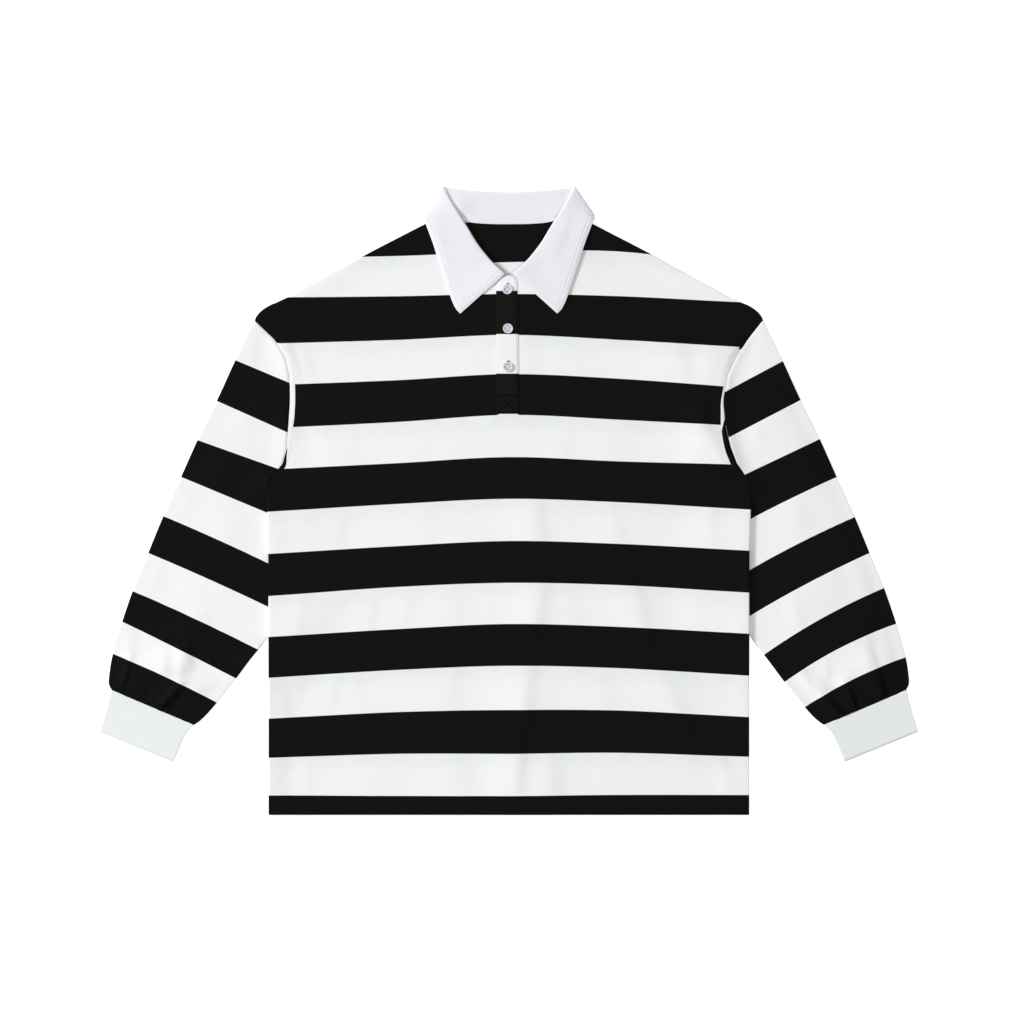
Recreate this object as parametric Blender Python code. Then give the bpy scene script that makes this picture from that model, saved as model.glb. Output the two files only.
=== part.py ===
"""Long-sleeved striped polo shirt with a woven collar, laid flat on its back, front up.

Tables are in millimetres. +X is the wearer's left side, +Y is towards the collar and
+Z is up from the surface that the shirt lies on. The garment is cut the same on both
sides, so most outlines are given for the +X side and mirrored.
"""
import math

import bmesh
import bpy
import numpy as np

MM = 0.001

# Cloth, in mm
CLOTH = 1.2           # heavy cotton jersey of the body and sleeves
RIB_CLOTH = 1.9       # two plies of rib knit in a cuff
COLLAR_CLOTH = 1.6    # woven collar, two plies and an interlining
PLACKET_CLOTH = 1.2
UNDER_PLACKET_CLOTH = 1.0
STRIP_CLOTH = 0.7     # lapped armhole seam
TAPE_CLOTH = 0.6      # tape over the back neck seam
SEAM = 0.35           # clear space between two pieces at a seam
LAY = 0.3             # clear space between a piece and the one that it lies on

# Heights of the laid garment above its own underside, in mm
FOLD_HEIGHT = 5.0     # rounded fold at a side, shoulder or sleeve edge
LAID_HEIGHT = 3.6     # front over back, away from the folds
PRESSED_HEIGHT = 3.0  # sleeve where the body lies on it
CUFF_HEIGHT = 4.6
NECK_HEIGHT = 5.0     # front over back close to the collar
FOLD_REACH = 30.0     # how far in from a fold the height settles
PLACKET_RISE = 1.5    # what the under placket adds
SLEEVE_LIFT = PRESSED_HEIGHT + LAY
COLLAR_LIFT = COLLAR_CLOTH + LAY

# Landmarks, in mm
HEM_Y = -375.2
CHEST_HALF = 287.4
ARMPIT_Y = 16.0
TIP_X, TIP_Y = 304.0, 215.7
NECK_X, NECK_Y = 71.6, 345.3
BODY_LEVEL_Y = 150.0  # below this the rows of a panel run level
HEM_DEPTH = 20.0
HEM_PLY = 0.5         # what the turned-up hem adds on the inside

# Outlines of the +X side: x, y
SHOULDER = [(NECK_X, NECK_Y), (100, 331), (169, 295.5), (264, 243.8), (285, 234.3), (296, 227.2),
            (302, 220.3), (TIP_X, TIP_Y)]
SLEEVE_OUTER = [(TIP_X, TIP_Y), (327.4, 167.7), (349.2, 120), (372.2, 73.3), (392.2, 28.4),
                (413.5, -18.8), (431.4, -62.4), (449.3, -106), (462.9, -146), (474, -184.5),
                (478.4, -212), (478.2, -219.5), (475.3, -225.8)]
SLEEVE_TUCKED = [(290, 14), (290.2, 2), (290, -10), (285, -28), (277, -52), (270, -80),
                 (269.5, -110), (276, -138), (288.4, -163)]
SLEEVE_INNER = [(288.4, -163), (302.3, -180.5), (328.1, -215), (351.3, -244), (366.4, -260.6),
                (376.1, -267.8)]
SIDE = [(289, ARMPIT_Y), (289.3, 2), (288.2, -40), (CHEST_HALF, -90), (CHEST_HALF, HEM_Y)]
NECK_FRONT = [(0, 266), (12, 266.2), (22, 267.5), (37, 274), (51, 286.5), (59.5, 301), (65, 318),
              (69, 334), (NECK_X, NECK_Y)]
NECK_BACK = [(0, 333.5), (30, 333.6), (50, 335.6), (63, 339.6), (NECK_X, NECK_Y)]

# Armhole from armpit to shoulder tip: y, x on the wearer's left, x on the wearer's right
ARMHOLE = [(16, 289.0, 289.0), (20, 288.4, 288.3), (25, 286.4, 286.2), (31, 282.0, 281.3),
           (45, 272.6, 270.8),
           (63, 265.6, 265.4), (90, 258.8, 263.6), (120, 256.0, 261.8), (150, 261.5, 262.2),
           (171, 271.0, 266.6), (192, 285.0, 279.5), (212, 300.5, 300.6), (TIP_Y, TIP_X, TIP_X)]

# Columns of a panel: share of the half width on the body, x on the neckline and shoulder
FRONT_COLUMNS = [(0, 0), (0.035, 10.6), (0.08, 24), (0.15, 38), (0.23, 51), (0.31, 60), (0.40, 67),
                 (0.50, NECK_X), (0.60, 100), (0.70, 140), (0.79, 190), (0.87, 240), (0.935, 280),
                 (0.976, 296.7), (0.9913, 301.0), (0.9975, 302.8), (1, TIP_X)]
BACK_COLUMNS = [(0, 0), (0.12, 36), (0.24, 58), (0.37, NECK_X), (0.52, 100), (0.66, 140),
                (0.78, 190), (0.87, 240), (0.935, 280), (0.976, 296.7), (0.9913, 301.0),
                (0.9975, 302.8), (1, TIP_X)]

# Rows of a panel: level ones, then shares of the way up, then steps below its top edge
BODY_ROWS = [HEM_Y, HEM_Y + HEM_DEPTH - 0.6, HEM_Y + HEM_DEPTH + 0.6, -322, -288, -254, -222, -196,
             -172, -145, -115, -82, -50, -26, -8, 2, 9, ARMPIT_Y, 20, 25, 31, 45, 63, 90, 120,
             BODY_LEVEL_Y]
UPPER_SHARES = [0.33, 0.66]
TOP_STEPS = [24, 3.2, 0.9, 0]

# Soft folds of the front: x and y of each end, half width, height
FRONT_FOLDS = [
    (28, -20, 36, -350, 20, 0.7),
    (-60, -120, -40, -330, 26, -0.5),
    (-195, -105, -252, -150, 18, 0.8),
    (130, -110, 205, -215, 24, 0.7),
    (205, -120, 252, -330, 22, -0.6),
    (-245, 160, -215, 60, 16, 0.8),
    (240, 165, 222, 50, 16, 0.8),
]

# Gathers of a sleeve above its cuff, in mm across from the outer end of the cuff seam and up
# from the seam: foot, head, length, half width, height. One table for each side.
GATHERS_LEFT = [(6, 0, 70, 7, 1.2), (25, 14, 95, 8, -2.2), (42, 36, 60, 8, 1.6),
                (61, 60, 70, 7, -1.8), (76, 82, 55, 7, 1.3), (90, 101, 75, 7, -1.8)]
GATHERS_RIGHT = [(7, 3, 70, 7, 1.2), (18, 20, 80, 8, -2.0), (37, 38, 60, 8, 1.6),
                 (63, 66, 90, 8, -2.2), (80, 79, 60, 7, 1.4), (95, 96, 55, 7, -1.4)]

# A sleeve's rings: share of the way from armhole to cuff along its outer edge, along its inner
# edge, and how far the ring still follows the armhole's curve
SLEEVE_RINGS = [(0, 0, 1), (0.035, 0.022, 0.86), (0.11, 0.07, 0.52), (0.21, 0.14, 0.22),
                (0.32, 0.24, 0.06), (0.43, 0.35, 0), (0.54, 0.47, 0), (0.64, 0.58, 0),
                (0.73, 0.68, 0), (0.81, 0.77, 0), (0.87, 0.85, 0), (0.92, 0.91, 0),
                (0.955, 0.95, 0), (0.983, 0.98, 0), (1, 1, 0)]
RELAXED_RINGS = 7           # rings below the armhole that are evened out
RELAX_PASSES = 300
ARMPIT_LEAN = np.array([-2.0, 0])  # turns the wall at the armpit's end in towards the sleeve
EDGE_STEPS = [0, 1.1, 3.4]  # points next to a folded edge, mm in from it
PUFF_HEIGHT = 4.2     # fullness of the gathered end above a cuff
PUFF_PLACE = 30.0     # its distance from the cuff seam
PUFF_REACH = 23.0

# A cuff's rings: outer x, outer y, inner x, inner y
CUFF_RINGS = [(475.5, -226.4, 376.5, -268.5), (481.8, -250.8, 387.4, -280.8),
              (489.1, -276.0, 401.0, -312.0)]
RIBS = 46             # ribs across the upper face of a cuff
RIB_DEPTH = 0.3
CUFF_UNDERSIDE_POINTS = 8

# Collar stations from one front end round to the middle of the back neck:
# seam x, y, roll x, y, edge x, y, share of front level, turn from front fold to back fold (deg)
COLLAR_STATIONS = [
    (13.0, 267.4, 4.8, 271.1, 58.0, 223.9, 1, 0),
    (22.5, 268.9, 12.5, 277.8, 63.2, 229.6, 1, 0),
    (36.4, 275.6, 21.2, 286.0, 68.6, 241.0, 1, 0),
    (49.8, 287.8, 31.0, 297.5, 75.5, 262.0, 1, 0),
    (57.9, 301.6, 40.2, 310.0, 82.8, 283.0, 1, 0),
    (63.3, 318.0, 49.5, 325.5, 89.8, 305.0, 1, 4),
    (66.8, 332.0, 58.4, 339.8, 95.6, 321.0, 1, 16),
    (69.0, 341.0, 66.4, 352.6, 99.8, 332.0, 0.98, 42),
    (70.2, 345.2, 72.4, 363.2, 101.8, 336.0, 0.86, 62),
    (71.0, 347.4, 76.6, 371.6, 102.6, 339.4, 0.68, 78),
    (71.2, 348.4, 77.9, 375.2, 102.6, 341.0, 0.46, 92),
    (69.6, 346.6, 75.8, 374.7, 100.4, 339.6, 0.2, 110),
    (65.6, 342.4, 70.6, 373.6, 94.6, 334.2, 0, 145),
    (56.4, 338.2, 61.0, 372.4, 82.0, 328.4, 0, 168),
    (41.0, 335.4, 44.5, 370.6, 60.0, 324.0, 0, 180),
    (20.5, 334.1, 22.0, 369.0, 30.0, 321.4, 0, 180),
]
COLLAR_CENTRE = (0, 333.9, 0, 368.5, 0, 320.6, 0, 180)
FRONT_ROLL_RADIUS = 2.3
BACK_ROLL_RADIUS = 2.3
FRONT_ROLL_RISE = 3.4   # middle of the front roll above the front panel
BACK_ROLL_Z = 3.2       # middle of the back roll
BACK_SEAM_RISE = 1.1    # middle of the stand above the back's underside at the seam
LEAF_LAY = 0.6          # clear space under the leaves' edges
CORNER_PRESS = [0, 0.3, 0.7, 0.8, 0.8, 0.5, 0, 0, 0, 0, 0]   # thinning of the corner's crease
LEAF_SHARES = [0.3, 0.62, 1]
STAND_SHARES = [0, 0.34, 0.68]
ROLL_ANGLES = [-90, -45, 0, 45, 90]

# Placket, in mm
PLACKET_FOOT_Y = 104.0
PLACKET_TOP = [(-15.2, 252.0), (-14.0, 260.0), (-10.6, 266.4), (-5.0, 269.2), (1.5, 269.2),
               (6.5, 267.4), (10.0, 264.0)]
PLACKET_LEAN = 2.4      # how much further left the top of the right edge is than its foot
PLACKET_ROWS = 9
SLIT_FOOT_Y = 120.0
SLIT_HALF = 0.5
UNDER_PLACKET_X = [-12.5, -4.5, 3.5, 9.0]

# Buttons: 12 mm, four holes
BUTTONS = [("button_top", -1.9, 252.6), ("button_middle", -1.1, 205.9), ("button_bottom", -1.3, 160.2)]
BUTTON_RADIUS = 6.0
BUTTON_HEIGHT = 2.4
BUTTON_DISH_RADIUS = 3.9
BUTTON_DISH = 0.7
BUTTON_HOLE_RADIUS = 0.8
BUTTON_HOLE_OFFSET = 1.35

TAPE_WIDTH = 6.0

# Colours, linear RGB
STRIPE_BLACK = (0.0065, 0.0065, 0.0062, 1)
STRIPE_WHITE = (0.88, 0.88, 0.88, 1)
COLLAR_WHITE = (0.87, 0.88, 0.92, 1)
CUFF_WHITE = (0.86, 0.88, 0.89, 1)
BUTTON_PEARL = (0.62, 0.68, 0.76, 1)


# ---------------------------------------------------------------- curves and distances

def curve_through(rows, steps=6):
    """A smooth curve through the rows of a table."""
    rows = np.array(rows, dtype=float)
    padded = np.vstack([2 * rows[0] - rows[1], rows, 2 * rows[-1] - rows[-2]])
    points = []
    for a, b, c, d in zip(padded, padded[1:], padded[2:], padded[3:]):
        for t in np.arange(steps) / steps:
            cubic = 2 * b + (c - a) * t + (2 * a - 5 * b + 4 * c - d) * t**2 + (3 * b - a - 3 * c + d) * t**3
            points.append(cubic / 2)
    points.append(rows[-1])
    return np.array(points)


def along(curve, shares):
    """Points of a curve at shares of its length."""
    run = np.concatenate([[0], np.cumsum(np.linalg.norm(np.diff(curve, axis=0), axis=1))])
    wanted = np.asarray(shares, dtype=float) * run[-1]
    return np.column_stack([np.interp(wanted, run, curve[:, k]) for k in range(curve.shape[1])])


def distance_to(curve, points):
    """Distance in plan from each point to a curve."""
    start = curve[:-1]
    leg = curve[1:] - start
    reach = points[:, None, :] - start[None]
    share = np.clip((reach * leg).sum(-1) / (leg**2).sum(-1), 0, 1)
    return np.linalg.norm(reach - share[..., None] * leg, axis=-1).min(axis=1)


def ease(value, low, high):
    """Smooth step from 0 at low to 1 at high."""
    t = np.clip((value - low) / (high - low), 0, 1)
    return t * t * (3 - 2 * t)


SHOULDER_LINE = curve_through(SHOULDER)
OUTER_LINE = curve_through(SLEEVE_OUTER)
UPPER_FOLD = np.vstack([SHOULDER_LINE, OUTER_LINE[1:]])
TUCKED_LINE = curve_through(SLEEVE_TUCKED)
INNER_LINE = np.vstack([TUCKED_LINE, curve_through(SLEEVE_INNER)[1:]])
SIDE_LINE = curve_through(SIDE)
FRONT_NECKLINE = curve_through(NECK_FRONT)
BACK_NECKLINE = curve_through(NECK_BACK)
FALL_EDGE = np.array([(row[4], row[5]) for row in COLLAR_STATIONS[10:]] + [COLLAR_CENTRE[4:6]])


# ---------------------------------------------------------------- heights

def folded(points):
    """The same points on the +X side."""
    return np.column_stack([np.abs(points[:, 0]), points[:, 1]])


def below_armpit(y):
    """How far a sleeve has gone under the body, from 0 at the armpit to 1."""
    return ease(ARMPIT_Y - 2 - y, 0, 20)


def lift(points):
    """Height of the back panel's underside, over the tucked sleeves and the collar's fall."""
    half = folded(points)
    x, y = half.T
    order = np.argsort(TUCKED_LINE[:, 1])
    tucked_x = np.interp(y, TUCKED_LINE[order, 1], TUCKED_LINE[order, 0])
    over_sleeve = (x > tucked_x) & (y > -163) & (y < 4)
    gap = np.where(over_sleeve, 0, distance_to(TUCKED_LINE, half))
    sleeve = SLEEVE_LIFT * (1 - ease(gap, 12, 48)) * below_armpit(y)
    edge_order = np.argsort(FALL_EDGE[:, 0])
    fall_y = np.interp(x, FALL_EDGE[edge_order, 0], FALL_EDGE[edge_order, 1])
    over_fall = (x < FALL_EDGE[:, 0].max()) & (y > fall_y)
    gap = np.where(over_fall, 0, distance_to(FALL_EDGE, half))
    collar = COLLAR_LIFT * (1 - ease(gap, 8, 44))
    return np.maximum(sleeve, collar)


def fold_round(distance, height):
    """Upper surface of a rounded fold, at a distance in from its edge."""
    radius = height / 2
    short = np.clip(radius - distance, 0, None)
    return radius + np.sqrt(np.clip(radius**2 - short**2, 0, None))


def ridges(points, table):
    """Height of soft straight folds."""
    total = np.zeros(len(points))
    for x0, y0, x1, y1, half_width, height in table:
        a, b = np.array([x0, y0]), np.array([x1, y1])
        share = np.clip(((points - a) @ (b - a)) / ((b - a) @ (b - a)), 0, 1)
        gap = np.linalg.norm(points - (a + share[:, None] * (b - a)), axis=1)
        total += height * np.exp(-(gap / half_width)**2)
    return total


def plain_rise(points):
    """Height of the front's face above the back's underside, with no rounding at the folds."""
    half = folded(points)
    edge = np.minimum(distance_to(UPPER_FOLD, half), distance_to(SIDE_LINE, half))
    laid = LAID_HEIGHT + ridges(points, FRONT_FOLDS) * ease(edge, 20, 60)
    near_neck = 1 - ease(distance_to(FRONT_NECKLINE, half), 15, 75)
    laid = laid + (NECK_HEIGHT - LAID_HEIGHT) * near_neck
    beside = 1 - ease(np.abs(points[:, 0] + 1.5), 17, 48)
    placket = PLACKET_RISE * beside * ease(points[:, 1], PLACKET_FOOT_Y - 30, PLACKET_FOOT_Y - 4)
    hem = 2 * HEM_PLY * (1 - ease(points[:, 1], HEM_Y + HEM_DEPTH, HEM_Y + HEM_DEPTH + 20))
    return FOLD_HEIGHT + (laid + placket + hem - FOLD_HEIGHT) * ease(edge, 3, FOLD_REACH)


def front_top(points):
    """Height of the front panel's face above the floor."""
    half = folded(points)
    edge = np.minimum(distance_to(UPPER_FOLD, half), distance_to(SIDE_LINE, half))
    rounding = FOLD_HEIGHT - fold_round(edge, FOLD_HEIGHT)
    return lift(points) + plain_rise(points) - rounding


def back_under(points):
    """Height of the back panel's underside, curled up at the folds."""
    half = folded(points)
    edge = np.minimum(distance_to(UPPER_FOLD, half), distance_to(SIDE_LINE, half))
    return lift(points) + FOLD_HEIGHT - fold_round(edge, FOLD_HEIGHT)


# ---------------------------------------------------------------- walls from grids of points

def mesh_object(name, points, faces, material, smooth=True):
    """One named object from points in mm."""
    mesh = bpy.data.meshes.new(name)
    mesh.from_pydata((np.asarray(points) * MM).tolist(), [], [list(face) for face in faces])
    bm = bmesh.new()
    bm.from_mesh(mesh)
    bmesh.ops.triangulate(bm, faces=bm.faces[:])
    bm.to_mesh(mesh)
    bm.free()
    mesh.materials.append(material)
    if smooth:
        mesh.shade_smooth()
        mesh.set_sharp_from_angle(angle=math.radians(50))
    item = bpy.data.objects.new(name, mesh)
    bpy.context.scene.collection.objects.link(item)
    return item


def point_normals(points, faces):
    """Normal at each point, weighted by the area of the faces round it."""
    total = np.zeros_like(points)
    for face in faces:
        corners = points[list(face)]
        spread = np.cross(corners[2] - corners[0], corners[-1] - corners[1])
        for index in face:
            total[index] += spread
    return total / np.linalg.norm(total, axis=1)[:, None]


def surface_normals(height, plan, upward=1):
    """Normals of a surface given by its height over plan points."""
    step = 0.05
    slopes = [(height(plan + np.array(move)) - height(plan - np.array(move))) / (2 * step)
              for move in ((step, 0), (0, step))]
    normals = np.column_stack([-slopes[0], -slopes[1], np.ones(len(plan))]) * upward
    return normals / np.linalg.norm(normals, axis=1)[:, None]


def wall(points, faces, thickness, normals=None, level=()):
    """Closed wall under a face of quads. Mesh normals, made level, serve the listed rim points."""
    points = np.asarray(points, dtype=float)
    mesh_normals = point_normals(points, faces)
    normals = mesh_normals if normals is None else np.array(normals)
    for index in level:
        normals[index] = mesh_normals[index] * (1, 1, 0)
        normals[index] /= np.linalg.norm(normals[index])
    inner = points - normals * np.broadcast_to(thickness, len(points))[:, None]
    count = len(points)
    used = {(a, b) for face in faces for a, b in zip(face, face[1:] + face[:1])}
    rim = [(b, a, a + count, b + count) for a, b in sorted(used) if (b, a) not in used]
    back = [tuple(index + count for index in reversed(face)) for face in faces]
    return np.vstack([points, inner]), list(faces) + back + rim


def grid_faces(rows, columns, closed=False):
    """Quads of a grid whose points run row by row."""
    faces = []
    for row in range(rows - 1):
        for column in range(columns if closed else columns - 1):
            beside = (column + 1) % columns
            a, b = row * columns + column, row * columns + beside
            faces.append((a, b, b + columns, a + columns))
    return faces


# ---------------------------------------------------------------- body panels

def armhole_x(y, side):
    """Armhole's x at a height, side +1 for the wearer's left."""
    rows = np.array(ARMHOLE)
    return np.interp(y, rows[:, 0], rows[:, 1 if side > 0 else 2])


def half_width(y, side):
    """Half width of the body: side line, then armhole, then level with the shoulder tip."""
    order = np.argsort(SIDE_LINE[:, 1])
    below = np.interp(y, SIDE_LINE[order, 1], SIDE_LINE[order, 0])
    return np.where(y <= ARMPIT_Y, below, np.where(y < TIP_Y, armhole_x(y, side), TIP_X))


def column(share, top_x, side, neckline):
    """Plan points of a panel's column, from hem to neckline or shoulder."""
    edge = np.vstack([neckline, SHOULDER_LINE[1:]])
    top_y = np.interp(top_x, edge[:, 0], edge[:, 1])
    guide_y = min(top_y, TIP_Y + 0.9 * (TIP_X - top_x)) - TOP_STEPS[0]
    upper = [BODY_LEVEL_Y + part * (guide_y - BODY_LEVEL_Y) for part in (*UPPER_SHARES, 1)]
    upper += [top_y - step for step in TOP_STEPS[1:]]
    y = np.array(BODY_ROWS + upper)
    way_up = np.clip((y - BODY_LEVEL_Y) / (top_y - BODY_LEVEL_Y), 0, 1)
    place = share + (top_x / TIP_X - share) * way_up
    return np.column_stack([side * place * half_width(y, side), y])


def panel_plan(columns, neckline):
    """Plan grid of a panel, row by row, from the wearer's right to left."""
    right = [column(share, top_x, -1, neckline) for share, top_x in reversed(columns)]
    left = [column(share, top_x, 1, neckline) for share, top_x in columns[1:]]
    return np.stack(right + left, axis=1)


def hem_thickness(plan):
    """Cloth thickness at each point, with the turned-up hem."""
    return np.where(plan[:, 1] < HEM_Y + HEM_DEPTH, CLOTH + HEM_PLY, CLOTH)


def level_rim(plan_grid):
    """Indices of the grid's points on the side and shoulder folds."""
    rows, columns, _ = plan_grid.shape
    armpit_row = BODY_ROWS.index(ARMPIT_Y)
    sides = [row * columns + end for row in range(armpit_row + 1) for end in (0, columns - 1)]
    shoulders = [(rows - 1) * columns + c for c in range(columns)
                 if abs(plan_grid[-1, c, 0]) > NECK_X - 0.01]
    return sides + shoulders


def seam_heights(plan_grid, heights, offset):
    """Part the front and back at their shared folds by moving those points up or down."""
    for index in level_rim(plan_grid):
        heights[index] += offset
    return heights


def front_face():
    """Plan grid and face points of the front panel."""
    plan_grid = panel_plan(FRONT_COLUMNS, FRONT_NECKLINE)
    plan = plan_grid.reshape(-1, 2)
    heights = seam_heights(plan_grid, front_top(plan), SEAM / 2)
    return plan_grid, np.column_stack([plan, heights])


def build_front(material):
    """Front panel, slit behind the placket."""
    plan_grid, points = front_face()
    rows, columns, _ = plan_grid.shape
    faces = grid_faces(rows, columns)
    middle = columns // 2
    extra = {}
    for row in range(rows):
        if plan_grid[row, middle, 1] > SLIT_FOOT_Y:
            extra[row * columns + middle] = rows * columns + len(extra)
    points = np.vstack([points, points[list(extra)]])
    points[list(extra), 0] -= SLIT_HALF
    points[list(extra.values()), 0] += SLIT_HALF
    split = []
    for face in faces:
        to_left = face[0] % columns >= middle
        split.append(tuple(extra.get(index, index) if to_left else index for index in face))
    normals = surface_normals(front_top, points[:, :2])
    body, faces = wall(points, split, hem_thickness(points), normals, level_rim(plan_grid))
    return mesh_object("front", body, faces, material)


def build_back(material):
    """Back panel, resting on the floor."""
    plan_grid = panel_plan(BACK_COLUMNS, BACK_NECKLINE)
    plan = plan_grid.reshape(-1, 2)
    heights = seam_heights(plan_grid, back_under(plan), -SEAM / 2)
    faces = [tuple(reversed(face)) for face in grid_faces(*plan_grid.shape[:2])]
    points = np.column_stack([plan, heights])
    normals = surface_normals(back_under, plan, upward=-1)
    body, faces = wall(points, faces, hem_thickness(plan), normals, level_rim(plan_grid))
    return mesh_object("back", body, faces, material)


# ---------------------------------------------------------------- sleeves and cuffs

CUFF_ACROSS = (INNER_LINE[-1] - OUTER_LINE[-1]) / np.linalg.norm(INNER_LINE[-1] - OUTER_LINE[-1])
CUFF_UP = np.array([CUFF_ACROSS[1], -CUFF_ACROSS[0]])


def sleeve_edge(points):
    """Distance in from the nearer folded edge of a sleeve."""
    return np.minimum(distance_to(UPPER_FOLD, points), distance_to(INNER_LINE, points))


def sleeve_pressed(points):
    """How far the body presses a sleeve down, from 0 to 1."""
    x, y = points.T
    return below_armpit(y) * (1 - ease(x, 288, 316)) * ease(y, -195, -168)


def sleeve_fold(points):
    """Height of a sleeve's folded edges."""
    up = (points - OUTER_LINE[-1]) @ CUFF_UP
    fold = FOLD_HEIGHT + (PRESSED_HEIGHT - FOLD_HEIGHT) * sleeve_pressed(points)
    return fold + (CUFF_HEIGHT - fold) * (1 - ease(up, 0, 16))


def sleeve_top(points, gathers):
    """Height of a sleeve's upper face, on the +X side."""
    across = (points - OUTER_LINE[-1]) @ CUFF_ACROSS
    up = (points - OUTER_LINE[-1]) @ CUFF_UP
    edge = sleeve_edge(points)
    fullness = PUFF_HEIGHT * np.exp(-((up - PUFF_PLACE) / PUFF_REACH)**2) * ease(edge, 0, 22)
    for foot, head, length, half_width_mm, height in gathers:
        share = np.clip(up / length, 0, 1)
        gap = across - (foot + (head - foot) * share)
        fade = (1 - share)**0.7 * ease(up, 2, 14) * ease(edge, 2, 12)
        fullness += height * fade * np.exp(-(gap / half_width_mm)**2)
    laid = LAID_HEIGHT + (PRESSED_HEIGHT - LAID_HEIGHT) * sleeve_pressed(points)
    laid = laid + (CUFF_HEIGHT - laid) * (1 - ease(up, 0, 16))
    fold = sleeve_fold(points)
    return (laid + fullness - fold) * ease(edge, 3, FOLD_REACH) + fold_round(edge, fold)


def sleeve_under(points):
    """Height of a sleeve's underside, curled up at its folded edges."""
    fold = sleeve_fold(points)
    return fold - fold_round(sleeve_edge(points), fold)


def armhole_path(side):
    """The armhole as the panels have it, from shoulder tip to armpit."""
    plan = column(1, TIP_X, side, FRONT_NECKLINE)
    return plan[plan[:, 1] >= ARMPIT_Y][::-1] * (side, 1)


def with_middles(path):
    """A path with a point added halfway along each of its longer legs."""
    points = [path[0]]
    for a, b in zip(path, path[1:]):
        if np.linalg.norm(b - a) > 8:
            points.append((a + b) / 2)
        points.append(b)
    return np.array(points)


def across_shares(path):
    """Shares of the way along a path at its points."""
    run = np.concatenate([[0], np.cumsum(np.linalg.norm(np.diff(path, axis=0), axis=1))])
    return run / run[-1]


def direction_at(line, share):
    """Unit direction of a line at a share of its length."""
    a, b = along(line, [max(share - 0.01, 0), min(share + 0.01, 1)])
    return (b - a) / np.linalg.norm(b - a)


def edge_points(line, share, inward, lean):
    """Three points in from a folded edge, leaning along the ring; inward is 1 to the left."""
    point = along(line, [share])[0]
    run = direction_at(line, share)
    normal = np.array([-run[1], run[0]]) * inward
    heading = normal + lean
    return point + np.outer(EDGE_STEPS, heading / (heading @ normal))


def sleeve_ring_path(outer_share, inner_share, arm, curve_share):
    """Plan points across a sleeve from its outer to its inner edge."""
    across = along(INNER_LINE, [inner_share])[0] - along(OUTER_LINE, [outer_share])[0]
    lean = across / np.linalg.norm(across) * curve_share * 1.2
    start = edge_points(OUTER_LINE, outer_share, -1, lean)
    end = edge_points(INNER_LINE, inner_share, 1, -lean)[::-1]
    inside = arm[2:-2]
    shares = across_shares(inside)
    mixed = curve_share * shares + (1 - curve_share) * np.linspace(0, 1, len(shares))
    chord = inside[0] + (inside[-1] - inside[0]) * shares[:, None]
    middle = start[-1] + (end[0] - start[-1]) * mixed[:, None] + (inside - chord) * curve_share
    return np.vstack([start[:-1], middle, end[1:]])


def relaxed(plans, last):
    """Even out the rings above the last one between their edge points, with no lines crossing."""
    grid = np.array(plans)
    part = grid[:last + 1, 2:-2]
    for _ in range(RELAX_PASSES):
        down = (part[2:, 1:-1] - part[:-2, 1:-1]) / 2
        across = (part[1:-1, 2:] - part[1:-1, :-2]) / 2
        skew = (part[2:, 2:] - part[2:, :-2] - part[:-2, 2:] + part[:-2, :-2]) / 4
        a = (across**2).sum(-1)[..., None]
        b = (down * across).sum(-1)[..., None]
        c = (down**2).sum(-1)[..., None]
        along_down = a * (part[2:, 1:-1] + part[:-2, 1:-1])
        along_across = c * (part[1:-1, 2:] + part[1:-1, :-2])
        part[1:-1, 1:-1] = (along_down + along_across - 2 * b * skew) / (2 * (a + c))
    return grid


def build_sleeve(name, side, gathers, material):
    """Sleeve as a flattened tube, with its inner part tucked under the body."""
    path = armhole_path(side)
    seam = with_middles(path)
    outward = np.gradient(seam, axis=0)[:, ::-1] * (-1, 1)
    arm = seam + outward / np.linalg.norm(outward, axis=1)[:, None] * SEAM
    below = [np.argmin(np.linalg.norm(seam - point, axis=1)) for point in path[1:-1]][::-1]
    plans = [arm] + [sleeve_ring_path(*row[:2], arm, row[2]) for row in SLEEVE_RINGS[1:]]
    plans = relaxed(plans, RELAXED_RINGS)
    mirror = np.array([side, 1, 1])
    order = 1 if side > 0 else -1
    rings, normals = [], []
    for plan, (outer_share, inner_share, _) in zip(plans, SLEEVE_RINGS):
        at_armhole = outer_share == 0
        top = front_top if at_armhole else lambda points: sleeve_top(points, gathers)
        under = back_under if at_armhole else sleeve_under
        upper = np.column_stack([plan, top(plan)])
        lower = np.column_stack([plan[below], under(plan[below])])
        ends = [0, len(arm) - 1]
        upper[ends, 2] = sleeve_fold(plan[ends]) / 2
        facing = np.vstack([surface_normals(top, plan), surface_normals(under, plan[below], upward=-1)])
        run = direction_at(OUTER_LINE, outer_share)
        facing[ends[0]] = (-run[1], run[0], 0)
        run = direction_at(INNER_LINE, inner_share) + (ARMPIT_LEAN if at_armhole else 0)
        facing[ends[1]] = np.array([run[1], -run[0], 0]) / np.linalg.norm(run)
        rings.append((np.vstack([upper, lower]) * mirror)[::order])
        normals.append((facing * mirror)[::order])
    faces = grid_faces(len(rings), len(rings[0]), closed=True)
    body, faces = wall(np.vstack(rings), faces, CLOTH, np.vstack(normals))
    return mesh_object(name, body, faces, material)


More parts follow.
